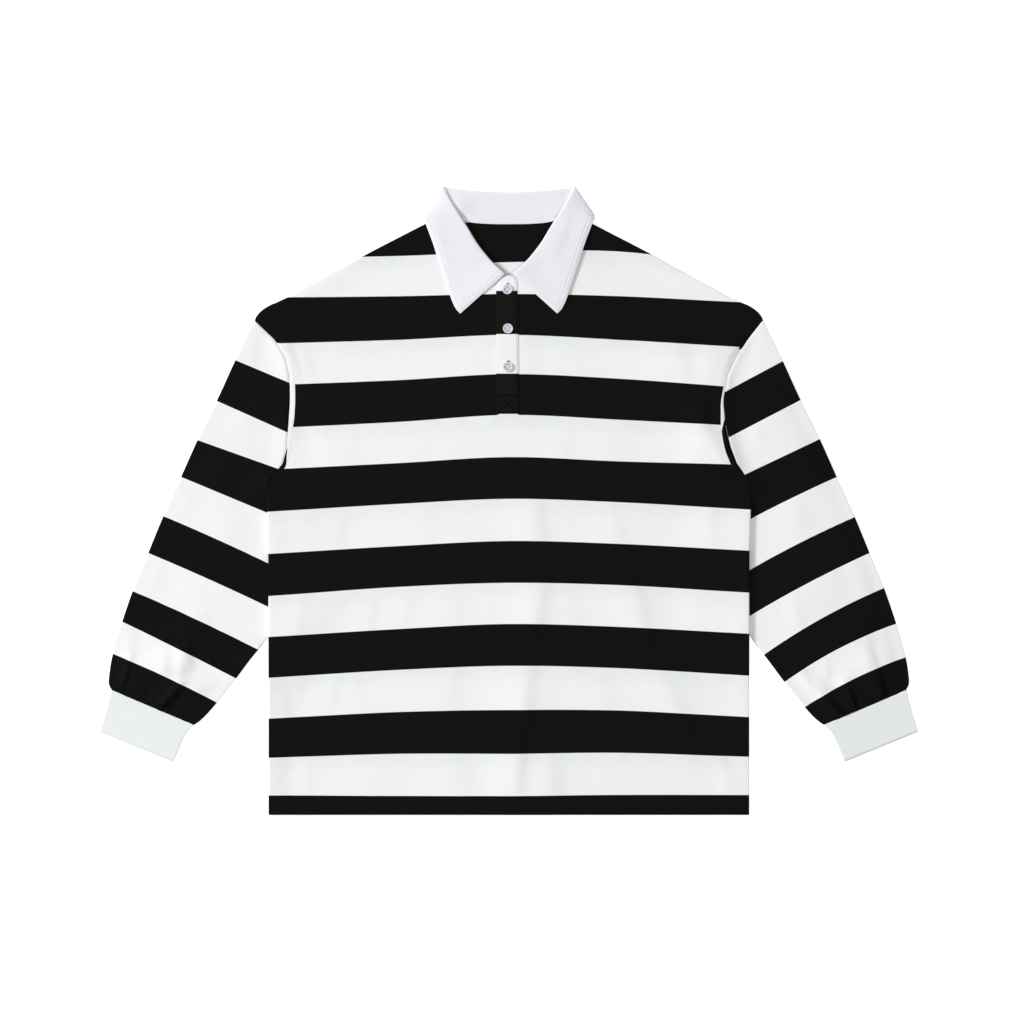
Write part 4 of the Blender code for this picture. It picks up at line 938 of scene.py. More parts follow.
def sleeve_ring_path(outer_share, inner_share, arm, curve_share):
    """Plan points across a sleeve from its outer to its inner edge."""
    across = along(INNER_LINE, [inner_share])[0] - along(OUTER_LINE, [outer_share])[0]
    lean = across / np.linalg.norm(across) * curve_share * 1.2
    start = edge_points(OUTER_LINE, outer_share, -1, lean)
    end = edge_points(INNER_LINE, inner_share, 1, -lean)[::-1]
    inside = arm[2:-2]
    shares = across_shares(inside)
    mixed = curve_share * shares + (1 - curve_share) * np.linspace(0, 1, len(shares))
    chord = inside[0] + (inside[-1] - inside[0]) * shares[:, None]
    middle = start[-1] + (end[0] - start[-1]) * mixed[:, None] + (inside - chord) * curve_share
    return np.vstack([start[:-1], middle, end[1:]])


def relaxed(plans, last):
    """Even out the rings above the last one between their edge points, with no lines crossing."""
    grid = np.array(plans)
    part = grid[:last + 1, 2:-2]
    for _ in range(RELAX_PASSES):
        down = (part[2:, 1:-1] - part[:-2, 1:-1]) / 2
        across = (part[1:-1, 2:] - part[1:-1, :-2]) / 2
        skew = (part[2:, 2:] - part[2:, :-2] - part[:-2, 2:] + part[:-2, :-2]) / 4
        a = (across**2).sum(-1)[..., None]
        b = (down * across).sum(-1)[..., None]
        c = (down**2).sum(-1)[..., None]
        along_down = a * (part[2:, 1:-1] + part[:-2, 1:-1])
        along_across = c * (part[1:-1, 2:] + part[1:-1, :-2])
        part[1:-1, 1:-1] = (along_down + along_across - 2 * b * skew) / (2 * (a + c))
    return grid


def sleeve_plan(side):
    """Plan of a sleeve's rings from armhole to cuff, on the +X side."""
    seam = armhole_path(side)
    outward = np.gradient(seam, axis=0)[:, ::-1] * (-1, 1)
    arm = seam + outward / np.linalg.norm(outward, axis=1)[:, None] * 0.1
    plans = [arm] + [sleeve_ring_path(*row[:2], arm, row[2]) for row in SLEEVE_RINGS[1:]]
    seam_line = INNER_LINE[-1] - OUTER_LINE[-1]
    share = (plans[-1] - OUTER_LINE[-1]) @ CUFF_ACROSS / np.linalg.norm(seam_line)
    plans[-1] = OUTER_LINE[-1] + np.outer(share, seam_line)
    plans = curve_through(relaxed(plans, RELAXED_RINGS), RINGS_BETWEEN)
    return np.swapaxes(curve_through(np.swapaxes(plans, 0, 1), POINTS_BETWEEN), 0, 1)


def build_sleeve(name, side, material):
    """Sleeve as a flattened tube, gathered to its cuff, with its inner part under the body."""
    plans = sleeve_plan(side)
    rings, across, _ = plans.shape
    plan = plans.reshape(-1, 2)
    from_arm = np.repeat(np.arange(rings) / RINGS_BETWEEN, across)
    joined = 1 - ease(from_arm, 0, 1)
    top = sleeve_top(plan, side) * (1 - joined) + front_top(plan * (side, 1)) * joined
    under = sleeve_under(plan) * (1 - joined) + back_under(plan) * joined
    top, under = top.reshape(rings, across), under.reshape(rings, across)
    top[:, [0, -1]] = sleeve_fold(plan).reshape(rings, across)[:, [0, -1]] / 2
    counts = sleeve_stripes(plan, SLEEVE_STRIPES[side]) * STRIPE_WIDTH
    width = np.array([run_along(ring) for ring in plans])
    upper = np.concatenate([plans, top[..., None]], axis=2)
    lower = np.concatenate([plans, under[..., None]], axis=2)[:, -2:0:-1]
    cloth = np.stack([width, counts.reshape(rings, across)], axis=2)
    around = np.concatenate([upper, lower], axis=1) * (side, 1, 1)
    flat = np.concatenate([cloth, cloth[:, -2:0:-1]], axis=1)
    # Painted shade of the gathers' pleats, for each point
    pleat_shade = painted_pleat_shade(plan, PLEAT_SHADES[side]).reshape(rings, across)
    pleat_shade = np.concatenate([pleat_shade, pleat_shade[:, -2:0:-1]], axis=1)
    if side == RIGHT:
        around, flat, pleat_shade = around[:, ::-1], flat[:, ::-1], pleat_shade[:, ::-1]
    faces = grid_faces(rings, around.shape[1], closed=True)
    return cloth_piece(name, around.reshape(-1, 3), faces, CLOTH, material, flat.reshape(-1, 2),
                       pleat_shade=pleat_shade.ravel())


def build_cuff(name, side, material):
    """Rib-knit cuff as a flattened tube, ribbed all round outside."""
    radius = CUFF_HEIGHT / 2
    table = curve_through(CUFF_RINGS, CUFF_STEPS)
    table = np.vstack([table[:1] * 0.97 + table[1:2] * 0.03, table[1:]])
    shells, cloth = [], []
    for place, row in enumerate(table):
        outer, inner = row[:2], row[2:]
        width = np.linalg.norm(inner - outer)
        direction = (inner - outer) / width
        flat = width - 2 * CUFF_SQUASH * radius
        arc = math.pi * radius
        steps = np.arange(2 * RIBS * POINTS_PER_RIB) / POINTS_PER_RIB
        run = steps / (2 * RIBS) * (2 * flat + 2 * arc)
        over = np.clip(run - arc / 2, 0, flat)
        back = np.clip(run - arc * 1.5 - flat, 0, flat)
        angle = math.pi - np.clip(run, 0, arc / 2) / radius
        angle -= np.clip(run - arc / 2 - flat, 0, arc) / radius
        angle -= np.clip(run - arc * 1.5 - 2 * flat, 0, arc / 2) / radius
        end = 1 - ease(place, 0, 1) + ease(place, len(table) - 2, len(table) - 1)
        rib = RIB_DEPTH * (0.5 - 0.5 * np.cos(2 * math.pi * steps)) * (1 - 0.6 * end)
        reach = radius - rib
        spot = outer + np.outer(over - back + CUFF_SQUASH * (radius + reach * np.cos(angle)), direction)
        shells.append(np.column_stack([spot, radius + reach * np.sin(angle)]) * (side, 1, 1))
        cloth.append(np.column_stack([run, np.full(len(run), place * RING_IN_CLOTH)]))
    if side == RIGHT:
        shells, cloth = [ring[::-1] for ring in shells], [ring[::-1] for ring in cloth]
    faces = grid_faces(len(table), len(shells[0]), closed=True)
    return cloth_piece(name, np.vstack(shells), faces, RIB_CLOTH, material, np.vstack(cloth))


# ---------------------------------------------------------------- armhole strips

def strip_plan(side, shares):
    """Plan of the armhole seam at shares of its width in from the seam line."""
    path = curve_through(armhole_path(side)[4:], 3)
    inward = np.gradient(path, axis=0)[:, ::-1] * (1, -1)
    inward /= np.linalg.norm(inward, axis=1)[:, None]
    rows = np.array(STRIP_WIDTHS[side])
    width = np.interp(path[:, 1], rows[:, 0], rows[:, 1])[:, None]
    columns = [path + inward * (LAP_GAP + share * (width - LAP_GAP)) for share in shares]
    return np.stack(columns, axis=1) * (side, 1)


def strip_count(plan, side, shares):
    """Stripe count on the armhole seam, whose stripes run on the slant near its foot."""
    slant = STRIP_SLANT[side] * (1 - ease(plan[..., 1], 95, 115)) * np.array(shares)
    return between(plan[..., 1] + slant, STRIP_STRIPES[side])


def build_strip(name, side, material):
    """Lapped and pressed armhole seam, made from the front's face, moved out."""
    shares = [0, 0.08, 0.2, 0.35, 0.5, 0.65, 0.8, 0.92, 1]
    plan = strip_plan(side, shares)
    rows, columns, _ = plan.shape
    flat = plan.reshape(-1, 2)
    swell = np.tile(STRIP_SWELL * np.sin(np.array(shares) * math.pi), rows)
    top = front_top(flat) + STRIP_RISE + swell
    counts = strip_count(plan, side, shares).ravel()
    cloth = np.column_stack([np.tile(shares, rows) * LAP_WIDTH, counts * STRIPE_WIDTH])
    faces = grid_faces(rows, columns)
    if side == LEFT:
        faces = [tuple(reversed(face)) for face in faces]
    edge = np.tile(np.minimum(shares, 1 - np.array(shares)) * LAP_WIDTH, rows)
    return cloth_piece(name, np.column_stack([flat, top]), faces, STRIP_RISE + swell - 0.01, material,
                       cloth, edge)


# ---------------------------------------------------------------- collar and tape

def stack_top(points):
    """Height that the collar's leaves lie on: the front and, over it, the placket."""
    x, y = points.T
    over_placket = (1 - ease(np.abs(x + 2), *LEAF_DROP_X)) * ease(y, *LEAF_DROP_Y)
    return lift(points) + plain_rise(points) + over_placket * (PLACKET_LAY + PLACKET_CLOTH)


def collar_section(station, side):
    """Points of the collar's middle surface at a station: stand, roll and fall."""
    seam_x, seam_y, roll_x, roll_y, edge_x, edge_y, level, turn = station
    seam, roll, edge = np.array([[seam_x, seam_y], [roll_x, roll_y], [edge_x, edge_y]])
    ground = lift(np.array([seam]))[0]
    front_seam = ground + plain_rise(np.array([seam]))[0] - CLOTH / 2
    seam_z = level * front_seam + (1 - level) * (ground + BACK_SEAM_RISE)
    leaf_low = stack_top(np.array([edge]))[0] + LEAF_LAY + COLLAR_CLOTH / 2
    edge_z = level * leaf_low + (1 - level) * COLLAR_CLOTH / 2
    roll_z = level * (front_seam + CLOTH / 2 + FRONT_ROLL_RISE) + (1 - level) * BACK_ROLL_Z
    radius = level * FRONT_ROLL_RADIUS + (1 - level) * BACK_ROLL_RADIUS
    to_seam = (seam - roll) / np.linalg.norm(seam - roll)
    to_edge = (edge - roll) / np.linalg.norm(edge - roll)
    inward = np.append(to_seam + to_edge, 0)
    inward /= np.linalg.norm(inward)
    swing = math.radians(turn)
    beside = np.append(to_edge - to_seam, 0)
    beside = beside - inward * (beside @ inward)
    beside /= max(np.linalg.norm(beside), 1e-6)
    across = np.array([0, 0, math.cos(swing)]) + beside * math.sin(swing)
    tip = np.append(roll, roll_z)
    bend = [tip + inward * radius * (1 - math.cos(math.radians(a)))
            + across * radius * math.sin(math.radians(a)) for a in ROLL_ANGLES]
    start, end = np.append(seam, seam_z), np.append(edge, edge_z)
    stand = [start + (bend[0] - start) * share for share in STAND_SHARES]
    shares = np.array(LEAF_SHARES)
    leaf = bend[-1] + (end - bend[-1]) * shares[:, None]
    spots = leaf[:, :2] * (side, 1)
    if level > 0.9:
        lowest = stack_top(leaf[:, :2]) + LEAF_LAY + COLLAR_CLOTH / 2
        leaf[:, 2] = np.maximum(leaf[:, 2], lowest)
    leaf[:, 2] += creases(spots, COLLAR_FOLDS) * level * np.sin(shares * math.pi)
    if side == LEFT:
        leaf[:, 2] += LEAF_LIFT * level * ease(shares, 0.3, 1) * ease(edge_y, 222, 250)
    stand = np.array(stand)
    folds = creases(stand[:, :2] * (side, 1), STAND_FOLDS)
    stand[:, 2] += folds * (1 - level) * np.sin(np.array(STAND_SHARES) / STAND_END * math.pi)
    return np.vstack([stand, bend, leaf])


def leaf_outline():
    """Plan of a leaf's finished edge on the +X side, from its front end round to the corner."""
    front_end = np.array([COLLAR_STATIONS[0][2:4], COLLAR_STATIONS[0][4:6]], dtype=float)
    outer = np.array([row[4:6] for row in COLLAR_STATIONS[:11]])
    return front_end, curve_through(outer, 4)


def build_collar(material):
    """Collar as one folded band from front end to front end."""
    half = curve_through(list(COLLAR_STATIONS) + [COLLAR_CENTRE], STATIONS_BETWEEN)
    first = half[0] + (half[1] - half[0]) * np.array([0, 0.1, 0.3, 0.6])[:, None]
    half = np.vstack([first, half[1:]])
    left = [collar_section(station, LEFT) for station in half]
    right = [collar_section(station, RIGHT) * (-1, 1, 1) for station in half[-2::-1]]
    sections = np.array(left + right)
    count = sections.shape[1]
    faces = grid_faces(len(sections), count)
    middle = sections.reshape(-1, 3)
    normals = point_normals(middle, faces)
    turns = np.concatenate([half[:, 7], half[-2::-1, 7]])
    shape = np.concatenate([np.zeros(len(STAND_SHARES)),
                            np.sin(np.linspace(0.15, 1, len(ROLL_ANGLES)) * math.pi) * 0.5 + 0.3,
                            np.zeros(len(LEAF_SHARES))])
    pressed = np.outer(np.exp(-((turns - CORNER_TURN) / CORNER_SPREAD)**2), shape * CORNER_PRESS)
    front_end, outline = leaf_outline()
    plan = folded(middle)
    edge = np.minimum(distance_to(front_end, plan), distance_to(outline, plan))
    on_leaf = np.tile(np.arange(count) >= len(STAND_SHARES) + len(ROLL_ANGLES) // 2, len(sections))
    in_front = np.repeat(np.concatenate([half[:, 6], half[-2::-1, 6]]) > 0.3, count)
    edge = np.where(on_leaf & in_front, edge, FAR_IN)
    thickness = COLLAR_CLOTH - pressed.ravel()
    thin = LEAF_THINNING * (1 - ease(edge, 0, LEAF_THIN_REACH))
    outer = middle + normals * (thickness / 2 - thin)[:, None]
    run = run_along(sections[:, len(STAND_SHARES)])
    over = np.array([run_along(section) for section in sections])
    cloth = np.column_stack([np.repeat(run, count), over.ravel()])
    return cloth_piece("collar_band", outer, faces, thickness - thin, material, cloth, edge, normals)


def build_tape(material):
    """Tape over the back neck seam, inside the collar."""
    middle = [station[:2] for station in COLLAR_STATIONS[13:]] + [COLLAR_CENTRE[:2]]
    middle += [(-x, y) for x, y in reversed(middle[:-1])]
    middle = curve_through(middle, steps=8) - (0, SEAM / 2)
    rows = []
    slope = (BACK_ROLL_Z + BACK_ROLL_RADIUS - COLLAR_LIFT - BACK_SEAM_RISE) / STAND_HEIGHT
    for shift in TAPE_SHIFTS:
        top = COLLAR_LIFT + BACK_SEAM_RISE + COLLAR_CLOTH / 2 + LAY + TAPE_CLOTH + max(shift, 0) * slope
        plan = middle + (0, shift)
        rows.append(np.column_stack([plan, np.full(len(plan), top)])[::-1])
    points = np.vstack(rows)
    across = np.repeat(TAPE_SHIFTS, len(middle))
    cloth = np.column_stack([points[:, 0], across])
    return cloth_piece("neck_tape_strip", points, grid_faces(len(TAPE_SHIFTS), len(middle)), TAPE_CLOTH,
                       material, cloth, TAPE_SHIFTS[-1] - np.abs(across))


# ---------------------------------------------------------------- placket and buttons

def placket_point(x, share):
    """Plan point of the placket: x on its top edge and share of the way up from its foot."""
    line = curve_through(PLACKET_TOP)
    top_y = np.interp(x, line[:, 0], line[:, 1])
    part = (x - PLACKET_TOP[0][0]) / (PLACKET_TOP[-1][0] - PLACKET_TOP[0][0])
    up = (top_y - PLACKET_FOOT_Y) * share
    return np.array([x + PLACKET_LEAN * (1 - share) * part, PLACKET_FOOT_Y + up])


def placket_height(plan):
    """Height of the placket's face."""
    return lift(plan) + plain_rise(plan) + PLACKET_LAY + PLACKET_CLOTH


def build_placket(material):
    """Over placket, lying on the front."""
    left, right = PLACKET_TOP[0][0], PLACKET_TOP[-1][0]
    across = [left, left + 0.4, left + 1] + list(np.linspace(left + 2, right - 2, 20)) + [
        right - 1, right - 0.4, right]
    shares = [0, 0.003, 0.008] + list(np.linspace(0.015, 0.97, 60)) + [0.985, 1]
    plan = np.array([placket_point(x, share) for share in shares for x in across])
    points = np.column_stack([plan, placket_height(plan)])
    top = np.array([placket_point(x, 1) for x in across])
    outline = np.vstack([top, [placket_point(right, 0), placket_point(left, 0), top[0]]])
    edge = distance_to(outline, plan)
    thin = PLACKET_THINNING * (1 - ease(edge, 0, PLACKET_THIN_REACH))
    points[:, 2] -= thin
    cloth = np.column_stack([plan[:, 0], between(plan[:, 1], PLACKET_STRIPES) * STRIPE_WIDTH])
    return cloth_piece("placket_over", points, grid_faces(len(shares), len(across)), PLACKET_CLOTH - thin,
                       material, cloth, edge)


def build_under_placket(material):
    """Under placket that carries the buttons, inside the front."""
    y = np.linspace(PLACKET_FOOT_Y + 2, NECK_FRONT[0][1] - 5, 40)
    plan = np.array([(x, row) for row in y for x in UNDER_PLACKET_X])
    top = lift(plan) + plain_rise(plan) - CLOTH - UNDER_PLACKET_DROP
    cloth = np.column_stack([plan[:, 0], between(plan[:, 1], PLACKET_STRIPES) * STRIPE_WIDTH])
    return cloth_piece("placket_inner", np.column_stack([plan, top]),
                       grid_faces(len(y), len(UNDER_PLACKET_X)), UNDER_PLACKET_CLOTH, material, cloth)


def button_base(x, y):
    """Height of a button's underside."""
    spot = np.array([[x, y]])
    return (placket_height(spot) + 0.05)[0]


def build_button(name, x, y, material):
    """Four-hole button: a rounded rim round a dished face."""
    base = button_base(x, y)
    height, rim, dish = BUTTON_HEIGHT, BUTTON_RADIUS, BUTTON_DISH_RADIUS
    profile = [(0.0, 0.0), (rim - 1.6, 0.0), (rim - 0.7, 0.3), (rim - 0.12, 0.85), (rim, 1.3),
               (rim - 0.08, 1.75), (rim - 0.45, 2.2), (rim - 1.0, height),
               (dish + 0.35, height - 0.06), (dish, height - 0.3), (dish - 0.5, height - BUTTON_DISH),
               (0.0, height - BUTTON_DISH - 0.1)]
    count = 64
    angles = np.arange(count) * 2 * math.pi / count
    points = [(x, y, base + profile[0][1])]
    for radius, z in profile[1:-1]:
        points += [(x + radius * math.cos(a), y + radius * math.sin(a), base + z) for a in angles]
    points.append((x, y, base + profile[-1][1]))
    rings = len(profile) - 2
    faces = [(0, 1 + (k + 1) % count, 1 + k) for k in range(count)]
    for ring in range(rings - 1):
        low, high = 1 + ring * count, 1 + (ring + 1) * count
        faces += [(low + k, low + (k + 1) % count, high + (k + 1) % count, high + k) for k in range(count)]
    last = 1 + (rings - 1) * count
    faces += [(last + k, last + (k + 1) % count, len(points) - 1) for k in range(count)]
    inward = [rim - math.hypot(point[0] - x, point[1] - y) for point in points]
    button = mesh_piece(name + "_disc", points, faces, material, {"edge": inward}, sharp=60)
    for dx, dy in ((1, 1), (-1, 1), (-1, -1), (1, -1)):
        hole = [(x + dx * BUTTON_HOLE_OFFSET + BUTTON_HOLE_RADIUS * math.cos(a),
                 y + dy * BUTTON_HOLE_OFFSET + BUTTON_HOLE_RADIUS * math.sin(a)) for a in angles[::4]]
        n = len(hole)
        body = [(hx, hy, base + z) for z in (-1, 4) for hx, hy in hole]
        sides = [(k, (k + 1) % n, n + (k + 1) % n, n + k) for k in range(n)]
        drill = mesh_piece("drill", body, sides + [tuple(range(n))[::-1], tuple(range(n, 2 * n))], material)
        cut = button.modifiers.new("hole", "BOOLEAN")
        cut.operation = "DIFFERENCE"
        cut.object = drill
        mesh = finished_mesh(button)
        button.modifiers.clear()
        button.data = mesh
        bpy.data.objects.remove(drill, do_unlink=True)
    return button


def buttonhole_rim(x, y):
    """The two long sides of a buttonhole's stitched rim, each as two ends."""
    half = BUTTONHOLE_LENGTH / 2
    sides = (x - BUTTONHOLE_GAPE - RIM, x + BUTTONHOLE_GAPE + RIM)
    return [[(side_x, y - half), (side_x, y + half)] for side_x in sides]


def build_buttonhole_shade(material):
    """Black sheets over the buttonholes' openings, spread by the shanks of the buttons, as painted shade
    inside them.
    """
    points, faces = [], []
    for _, button_x, button_y in BUTTONS:
        x, y = button_x + BUTTONHOLE_SHIFT, button_y + BUTTONHOLE_SHIFT
        z = placket_height(np.array([[x, y]]))[0] + 0.06
        first = len(points)
        steps = np.linspace(-1, 1, 13)
        for share in steps:
            gape = BUTTONHOLE_GAPE * (1 - share**16)
            middle = y + share * (BUTTONHOLE_LENGTH / 2 - 0.3)
            for dz in (0, 0.1):
                points += [(x - gape - 0.02, middle, z + dz), (x + gape + 0.02, middle, z + dz)]
        for k in range(len(steps) - 1):
            a, b = first + 4 * k, first + 4 * k + 4
            faces += [(a, b, b + 1, a + 1), (a + 2, a + 3, b + 3, b + 2), (a, a + 2, b + 2, b),
                      (a + 1, b + 1, b + 3, a + 3)]
        faces += [(first, first + 1, first + 3, first + 2), (b, b + 2, b + 3, b + 1)]
    return mesh_piece("painted_buttonhole_shade", points, faces, material)


def finished_mesh(piece):
    """A plain mesh of what a piece's modifiers make."""
    return bpy.data.meshes.new_from_object(piece.evaluated_get(bpy.context.evaluated_depsgraph_get()))


# ---------------------------------------------------------------- stitches

def node(tree, kind, inputs=(), **settings):
    """Add a node with its settings, and set or link its inputs by name or place.

    An input given as a node is linked to its first output in use, and hex is a colour.
    """
    made = tree.nodes.new(kind)
    for key, value in settings.items():
        setattr(made, key, value)
    for key, value in dict(inputs).items():
        if isinstance(value, bpy.types.Node):
            value = next(socket for socket in value.outputs if socket.enabled)
        if isinstance(value, bpy.types.NodeSocket):
            tree.links.new(value, made.inputs[key])
        else:
            made.inputs[key].default_value = colour(value) if isinstance(value, str) else value
    return made


def stitch_tree():
    """Geometry nodes that lay short round stitches along curves, end to end."""
    tree = bpy.data.node_groups.new("row_of_stitches", "GeometryNodeTree")
    face = tree.interface
    face.new_socket("Line", in_out="INPUT", socket_type="NodeSocketGeometry")
    for label in ("Pitch", "Stitch Length", "Thread"):
        face.new_socket(label, in_out="INPUT", socket_type="NodeSocketFloat")
    face.new_socket("Yarn", in_out="INPUT", socket_type="NodeSocketMaterial")
    face.new_socket("Stitches", in_out="OUTPUT", socket_type="NodeSocketGeometry")
    given = node(tree, "NodeGroupInput").outputs
    spots = node(tree, "GeometryNodeCurveToPoints", {"Curve": given["Line"], "Length": given["Pitch"]},
                 mode="LENGTH")
    bead = node(tree, "GeometryNodeMeshUVSphere", {"Segments": 6, "Rings": 4, "Radius": 0.5})
    size = node(tree, "ShaderNodeCombineXYZ", {"X": given["Thread"], "Y": given["Thread"],
                                               "Z": given["Stitch Length"]})
    laid = node(tree, "GeometryNodeInstanceOnPoints",
                {"Points": spots.outputs["Points"], "Instance": bead.outputs["Mesh"],
                 "Rotation": spots.outputs["Rotation"], "Scale": size.outputs[0]})
    real = node(tree, "GeometryNodeRealizeInstances", {"Geometry": laid.outputs["Instances"]})
    smooth = node(tree, "GeometryNodeSetShadeSmooth", {"Geometry": real.outputs["Geometry"]})
    yarn = node(tree, "GeometryNodeSetMaterial",
                {"Geometry": smooth.outputs["Geometry"], "Material": given["Yarn"]})
    node(tree, "NodeGroupOutput", {"Stitches": yarn.outputs["Geometry"]})
    return tree


def sew(name, paths, tree, yarn, pitch=STITCH_PITCH, length=STITCH_LENGTH, thread=THREAD):
    """Stitches along paths in mm, as one plain mesh."""
    curve = bpy.data.curves.new(name, "CURVE")
    curve.dimensions = "3D"
    for path in paths:
        line = curve.splines.new("POLY")
        line.points.add(len(path) - 1)
        line.points.foreach_set("co", np.column_stack([np.array(path) * MM, np.ones(len(path))]).ravel())
    guide = new_object(name + "_guide", curve)
    rows = guide.modifiers.new("stitches", "NODES")
    rows.node_group = tree
    values = {"Pitch": pitch * MM, "Stitch Length": length * MM, "Thread": thread * MM, "Yarn": yarn}
    for item in tree.interface.items_tree:
        if item.in_out == "INPUT" and item.name in values:
            rows[item.identifier] = values[item.name]
    mesh = finished_mesh(guide)
    bpy.data.objects.remove(guide, do_unlink=True)
    return new_object(name, mesh)


def on_surface(plan, height, rise=0.1):
    """A plan path laid on a surface."""
    plan = np.asarray(plan, dtype=float)
    return np.column_stack([plan, height(plan) + rise])


def even(path, step=1.5):
    """A path with evenly spaced points."""
    path = np.asarray(path, dtype=float)
    count = max(int(run_along(path)[-1] / step), 2)
    return along(path, np.linspace(0, 1, count + 1))


def split_by_colour(path, counts):
    """Parts of a path on white cloth and on black cloth."""
    black = np.floor(counts).astype(int) % 2 == 1
    parts = {False: [], True: []}
    start = 0
    for k in range(1, len(path) + 1):
        if k == len(path) or black[k] != black[start]:
            if k - start > 2:
                parts[bool(black[start])].append(path[start:k])
            start = k
    return parts[False], parts[True]


# ---------------------------------------------------------------- materials

def colour(value):
    """Linear colour from an sRGB hex value."""
    channels = [int(value[k:k + 2], 16) / 255 for k in (1, 3, 5)]
    return (*[c / 12.92 if c <= 0.04045 else ((c + 0.055) / 1.055)**2.4 for c in channels], 1)


def new_material(name):
    """Empty material and its tree."""
    material = bpy.data.materials.new(name)
    material.use_nodes = True
    material.node_tree.nodes.clear()
    return material, material.node_tree


def finish_material(tree, base, bump_height, distance, strength, **settings):
    """Principled shader with a bump and constants on its own sockets."""
    bump = node(tree, "ShaderNodeBump", {"Height": bump_height, "Distance": distance, "Strength": strength})
    shader = node(tree, "ShaderNodeBsdfPrincipled", {"Base Color": base, "Normal": bump})
    for label, value in settings.items():
        shader.inputs[label.replace("_", " ")].default_value = value
    node(tree, "ShaderNodeOutputMaterial", {"Surface": shader})


def in_mm(tree):
    """Place in the flat cloth in mm, and its parts across and along the cloth."""
    uv = node(tree, "ShaderNodeUVMap", uv_map="cloth")
    scaled = node(tree, "ShaderNodeVectorMath", {0: uv, 3: 1000.0}, operation="SCALE").outputs[0]
    parts = node(tree, "ShaderNodeSeparateXYZ", {0: scaled})
    return scaled, parts.outputs[0], parts.outputs[1]


def ribbed(tree, place, spacing):
    """Wave of ribs at a spacing in mm."""
    turn = node(tree, "ShaderNodeMath", {0: place, 1: 2 * math.pi / spacing}, operation="MULTIPLY")
    return node(tree, "ShaderNodeMath", {0: turn}, operation="SINE").outputs[0]


def fine_relief(tree, ribs, rib_height, yarn, yarn_height):
    """Height of ribs over the unevenness of the yarn."""
    loose = node(tree, "ShaderNodeMath", {0: yarn, 1: yarn_height}, operation="MULTIPLY")
    return node(tree, "ShaderNodeMath", {0: ribs, 1: rib_height, 2: loose}, operation="MULTIPLY_ADD")


def sewn_down(tree, height, place, width):
    """Height with the groove that a row of stitches presses in at a distance from the edge."""
    edge = node(tree, "ShaderNodeAttribute", attribute_name="edge").outputs["Fac"]
    aside = node(tree, "ShaderNodeMath", {0: edge, 1: place}, operation="SUBTRACT")
    gap = node(tree, "ShaderNodeMath", {0: aside}, operation="ABSOLUTE")
    groove = node(tree, "ShaderNodeMapRange", {"Value": gap, "From Max": width, "To Min": 1.0,
                                               "To Max": 0.0}, interpolation_type="SMOOTHSTEP")
    return node(tree, "ShaderNodeMath", {0: groove, 1: -0.3, 2: height}, operation="MULTIPLY_ADD")


def jersey(name, seam_place=None, trace=0.0, blacks=("#040404", "#11110E")):
    """Combed cotton jersey, yarn-dyed in stripes: dull, with fine wales and a short soft nap."""
    material, tree = new_material(name)
    spot, across, down = in_mm(tree)
    turns = node(tree, "ShaderNodeMath", {0: down, 1: 2 * STRIPE_WIDTH}, operation="DIVIDE")
    turn = node(tree, "ShaderNodeMath", {0: turns}, operation="FRACT")
    # Stripe edges are as soft as one course of knitting, 0.6 mm
    soft = 0.3 / (2 * STRIPE_WIDTH)
    enter, leave, warm = [
        node(tree, "ShaderNodeMapRange", {"Value": turn, "From Min": low, "From Max": high},
             interpolation_type="SMOOTHSTEP")
        for low, high in ((0.5 - soft, 0.5 + soft), (1 - soft, 1.0), (0.0, 0.25))]
    black = node(tree, "ShaderNodeMath", {0: enter, 1: leave}, operation="SUBTRACT")
    shade = node(tree, "ShaderNodeTexNoise", {"Vector": spot, "Scale": 0.045, "Detail": 3.0})
    yarn = node(tree, "ShaderNodeTexNoise", {"Vector": spot, "Scale": 0.8, "Detail": 3.0})
    # The upper half of a white stripe is a little cooler, where the black above has tinted it
    below = node(tree, "ShaderNodeMath", {0: 1.0, 1: warm}, operation="SUBTRACT")
    patches = node(tree, "ShaderNodeMath", {0: shade, 1: 2 * trace}, operation="MULTIPLY")
    tinted = node(tree, "ShaderNodeMath", {0: below, 1: patches}, operation="MULTIPLY")
    clean = node(tree, "ShaderNodeMix", {0: shade, 6: "#F1F2F2", 7: "#F5F5F4"}, data_type="RGBA")
    cool = node(tree, "ShaderNodeMix", {0: shade, 6: "#E6EAEE", 7: "#EBEEF0"}, data_type="RGBA")
    white = node(tree, "ShaderNodeMix", {0: tinted, 6: clean, 7: cool}, data_type="RGBA")
    # Painted shade: the black is darkened to near black in the pleats of the gathers
    grain = node(tree, "ShaderNodeMapRange", {"Value": yarn, "From Min": 0.3, "From Max": 0.7},
                 interpolation_type="SMOOTHSTEP")
    pleat_shade = node(tree, "ShaderNodeAttribute", attribute_name="pleat_shade").outputs["Fac"]
    nap = node(tree, "ShaderNodeMix", {0: grain, 6: blacks[0], 7: blacks[1]}, data_type="RGBA")
    pleat_shadow_black = node(tree, "ShaderNodeMix", {0: grain, 6: "#000000", 7: "#020202"}, data_type="RGBA")
    dark = node(tree, "ShaderNodeMix", {0: pleat_shade, 6: nap, 7: pleat_shadow_black}, data_type="RGBA")
    base = node(tree, "ShaderNodeMix", {0: black, 6: white, 7: dark}, data_type="RGBA")
    # Wales 1.1 mm apart and courses 0.8 mm apart
    wale, course = ribbed(tree, across, 1.1), ribbed(tree, down, 0.8)
    knit = node(tree, "ShaderNodeMath", {0: wale, 1: course}, operation="MULTIPLY")
    height = fine_relief(tree, knit, 0.05, yarn, 0.12)
    if seam_place is not None:
        height = sewn_down(tree, height, seam_place, 1.0)
    finish_material(tree, base, height, distance=0.001, strength=0.8,
                    Roughness=0.65, Specular_IOR_Level=0.06, Sheen_Weight=0.02, Sheen_Roughness=0.5)
    return material


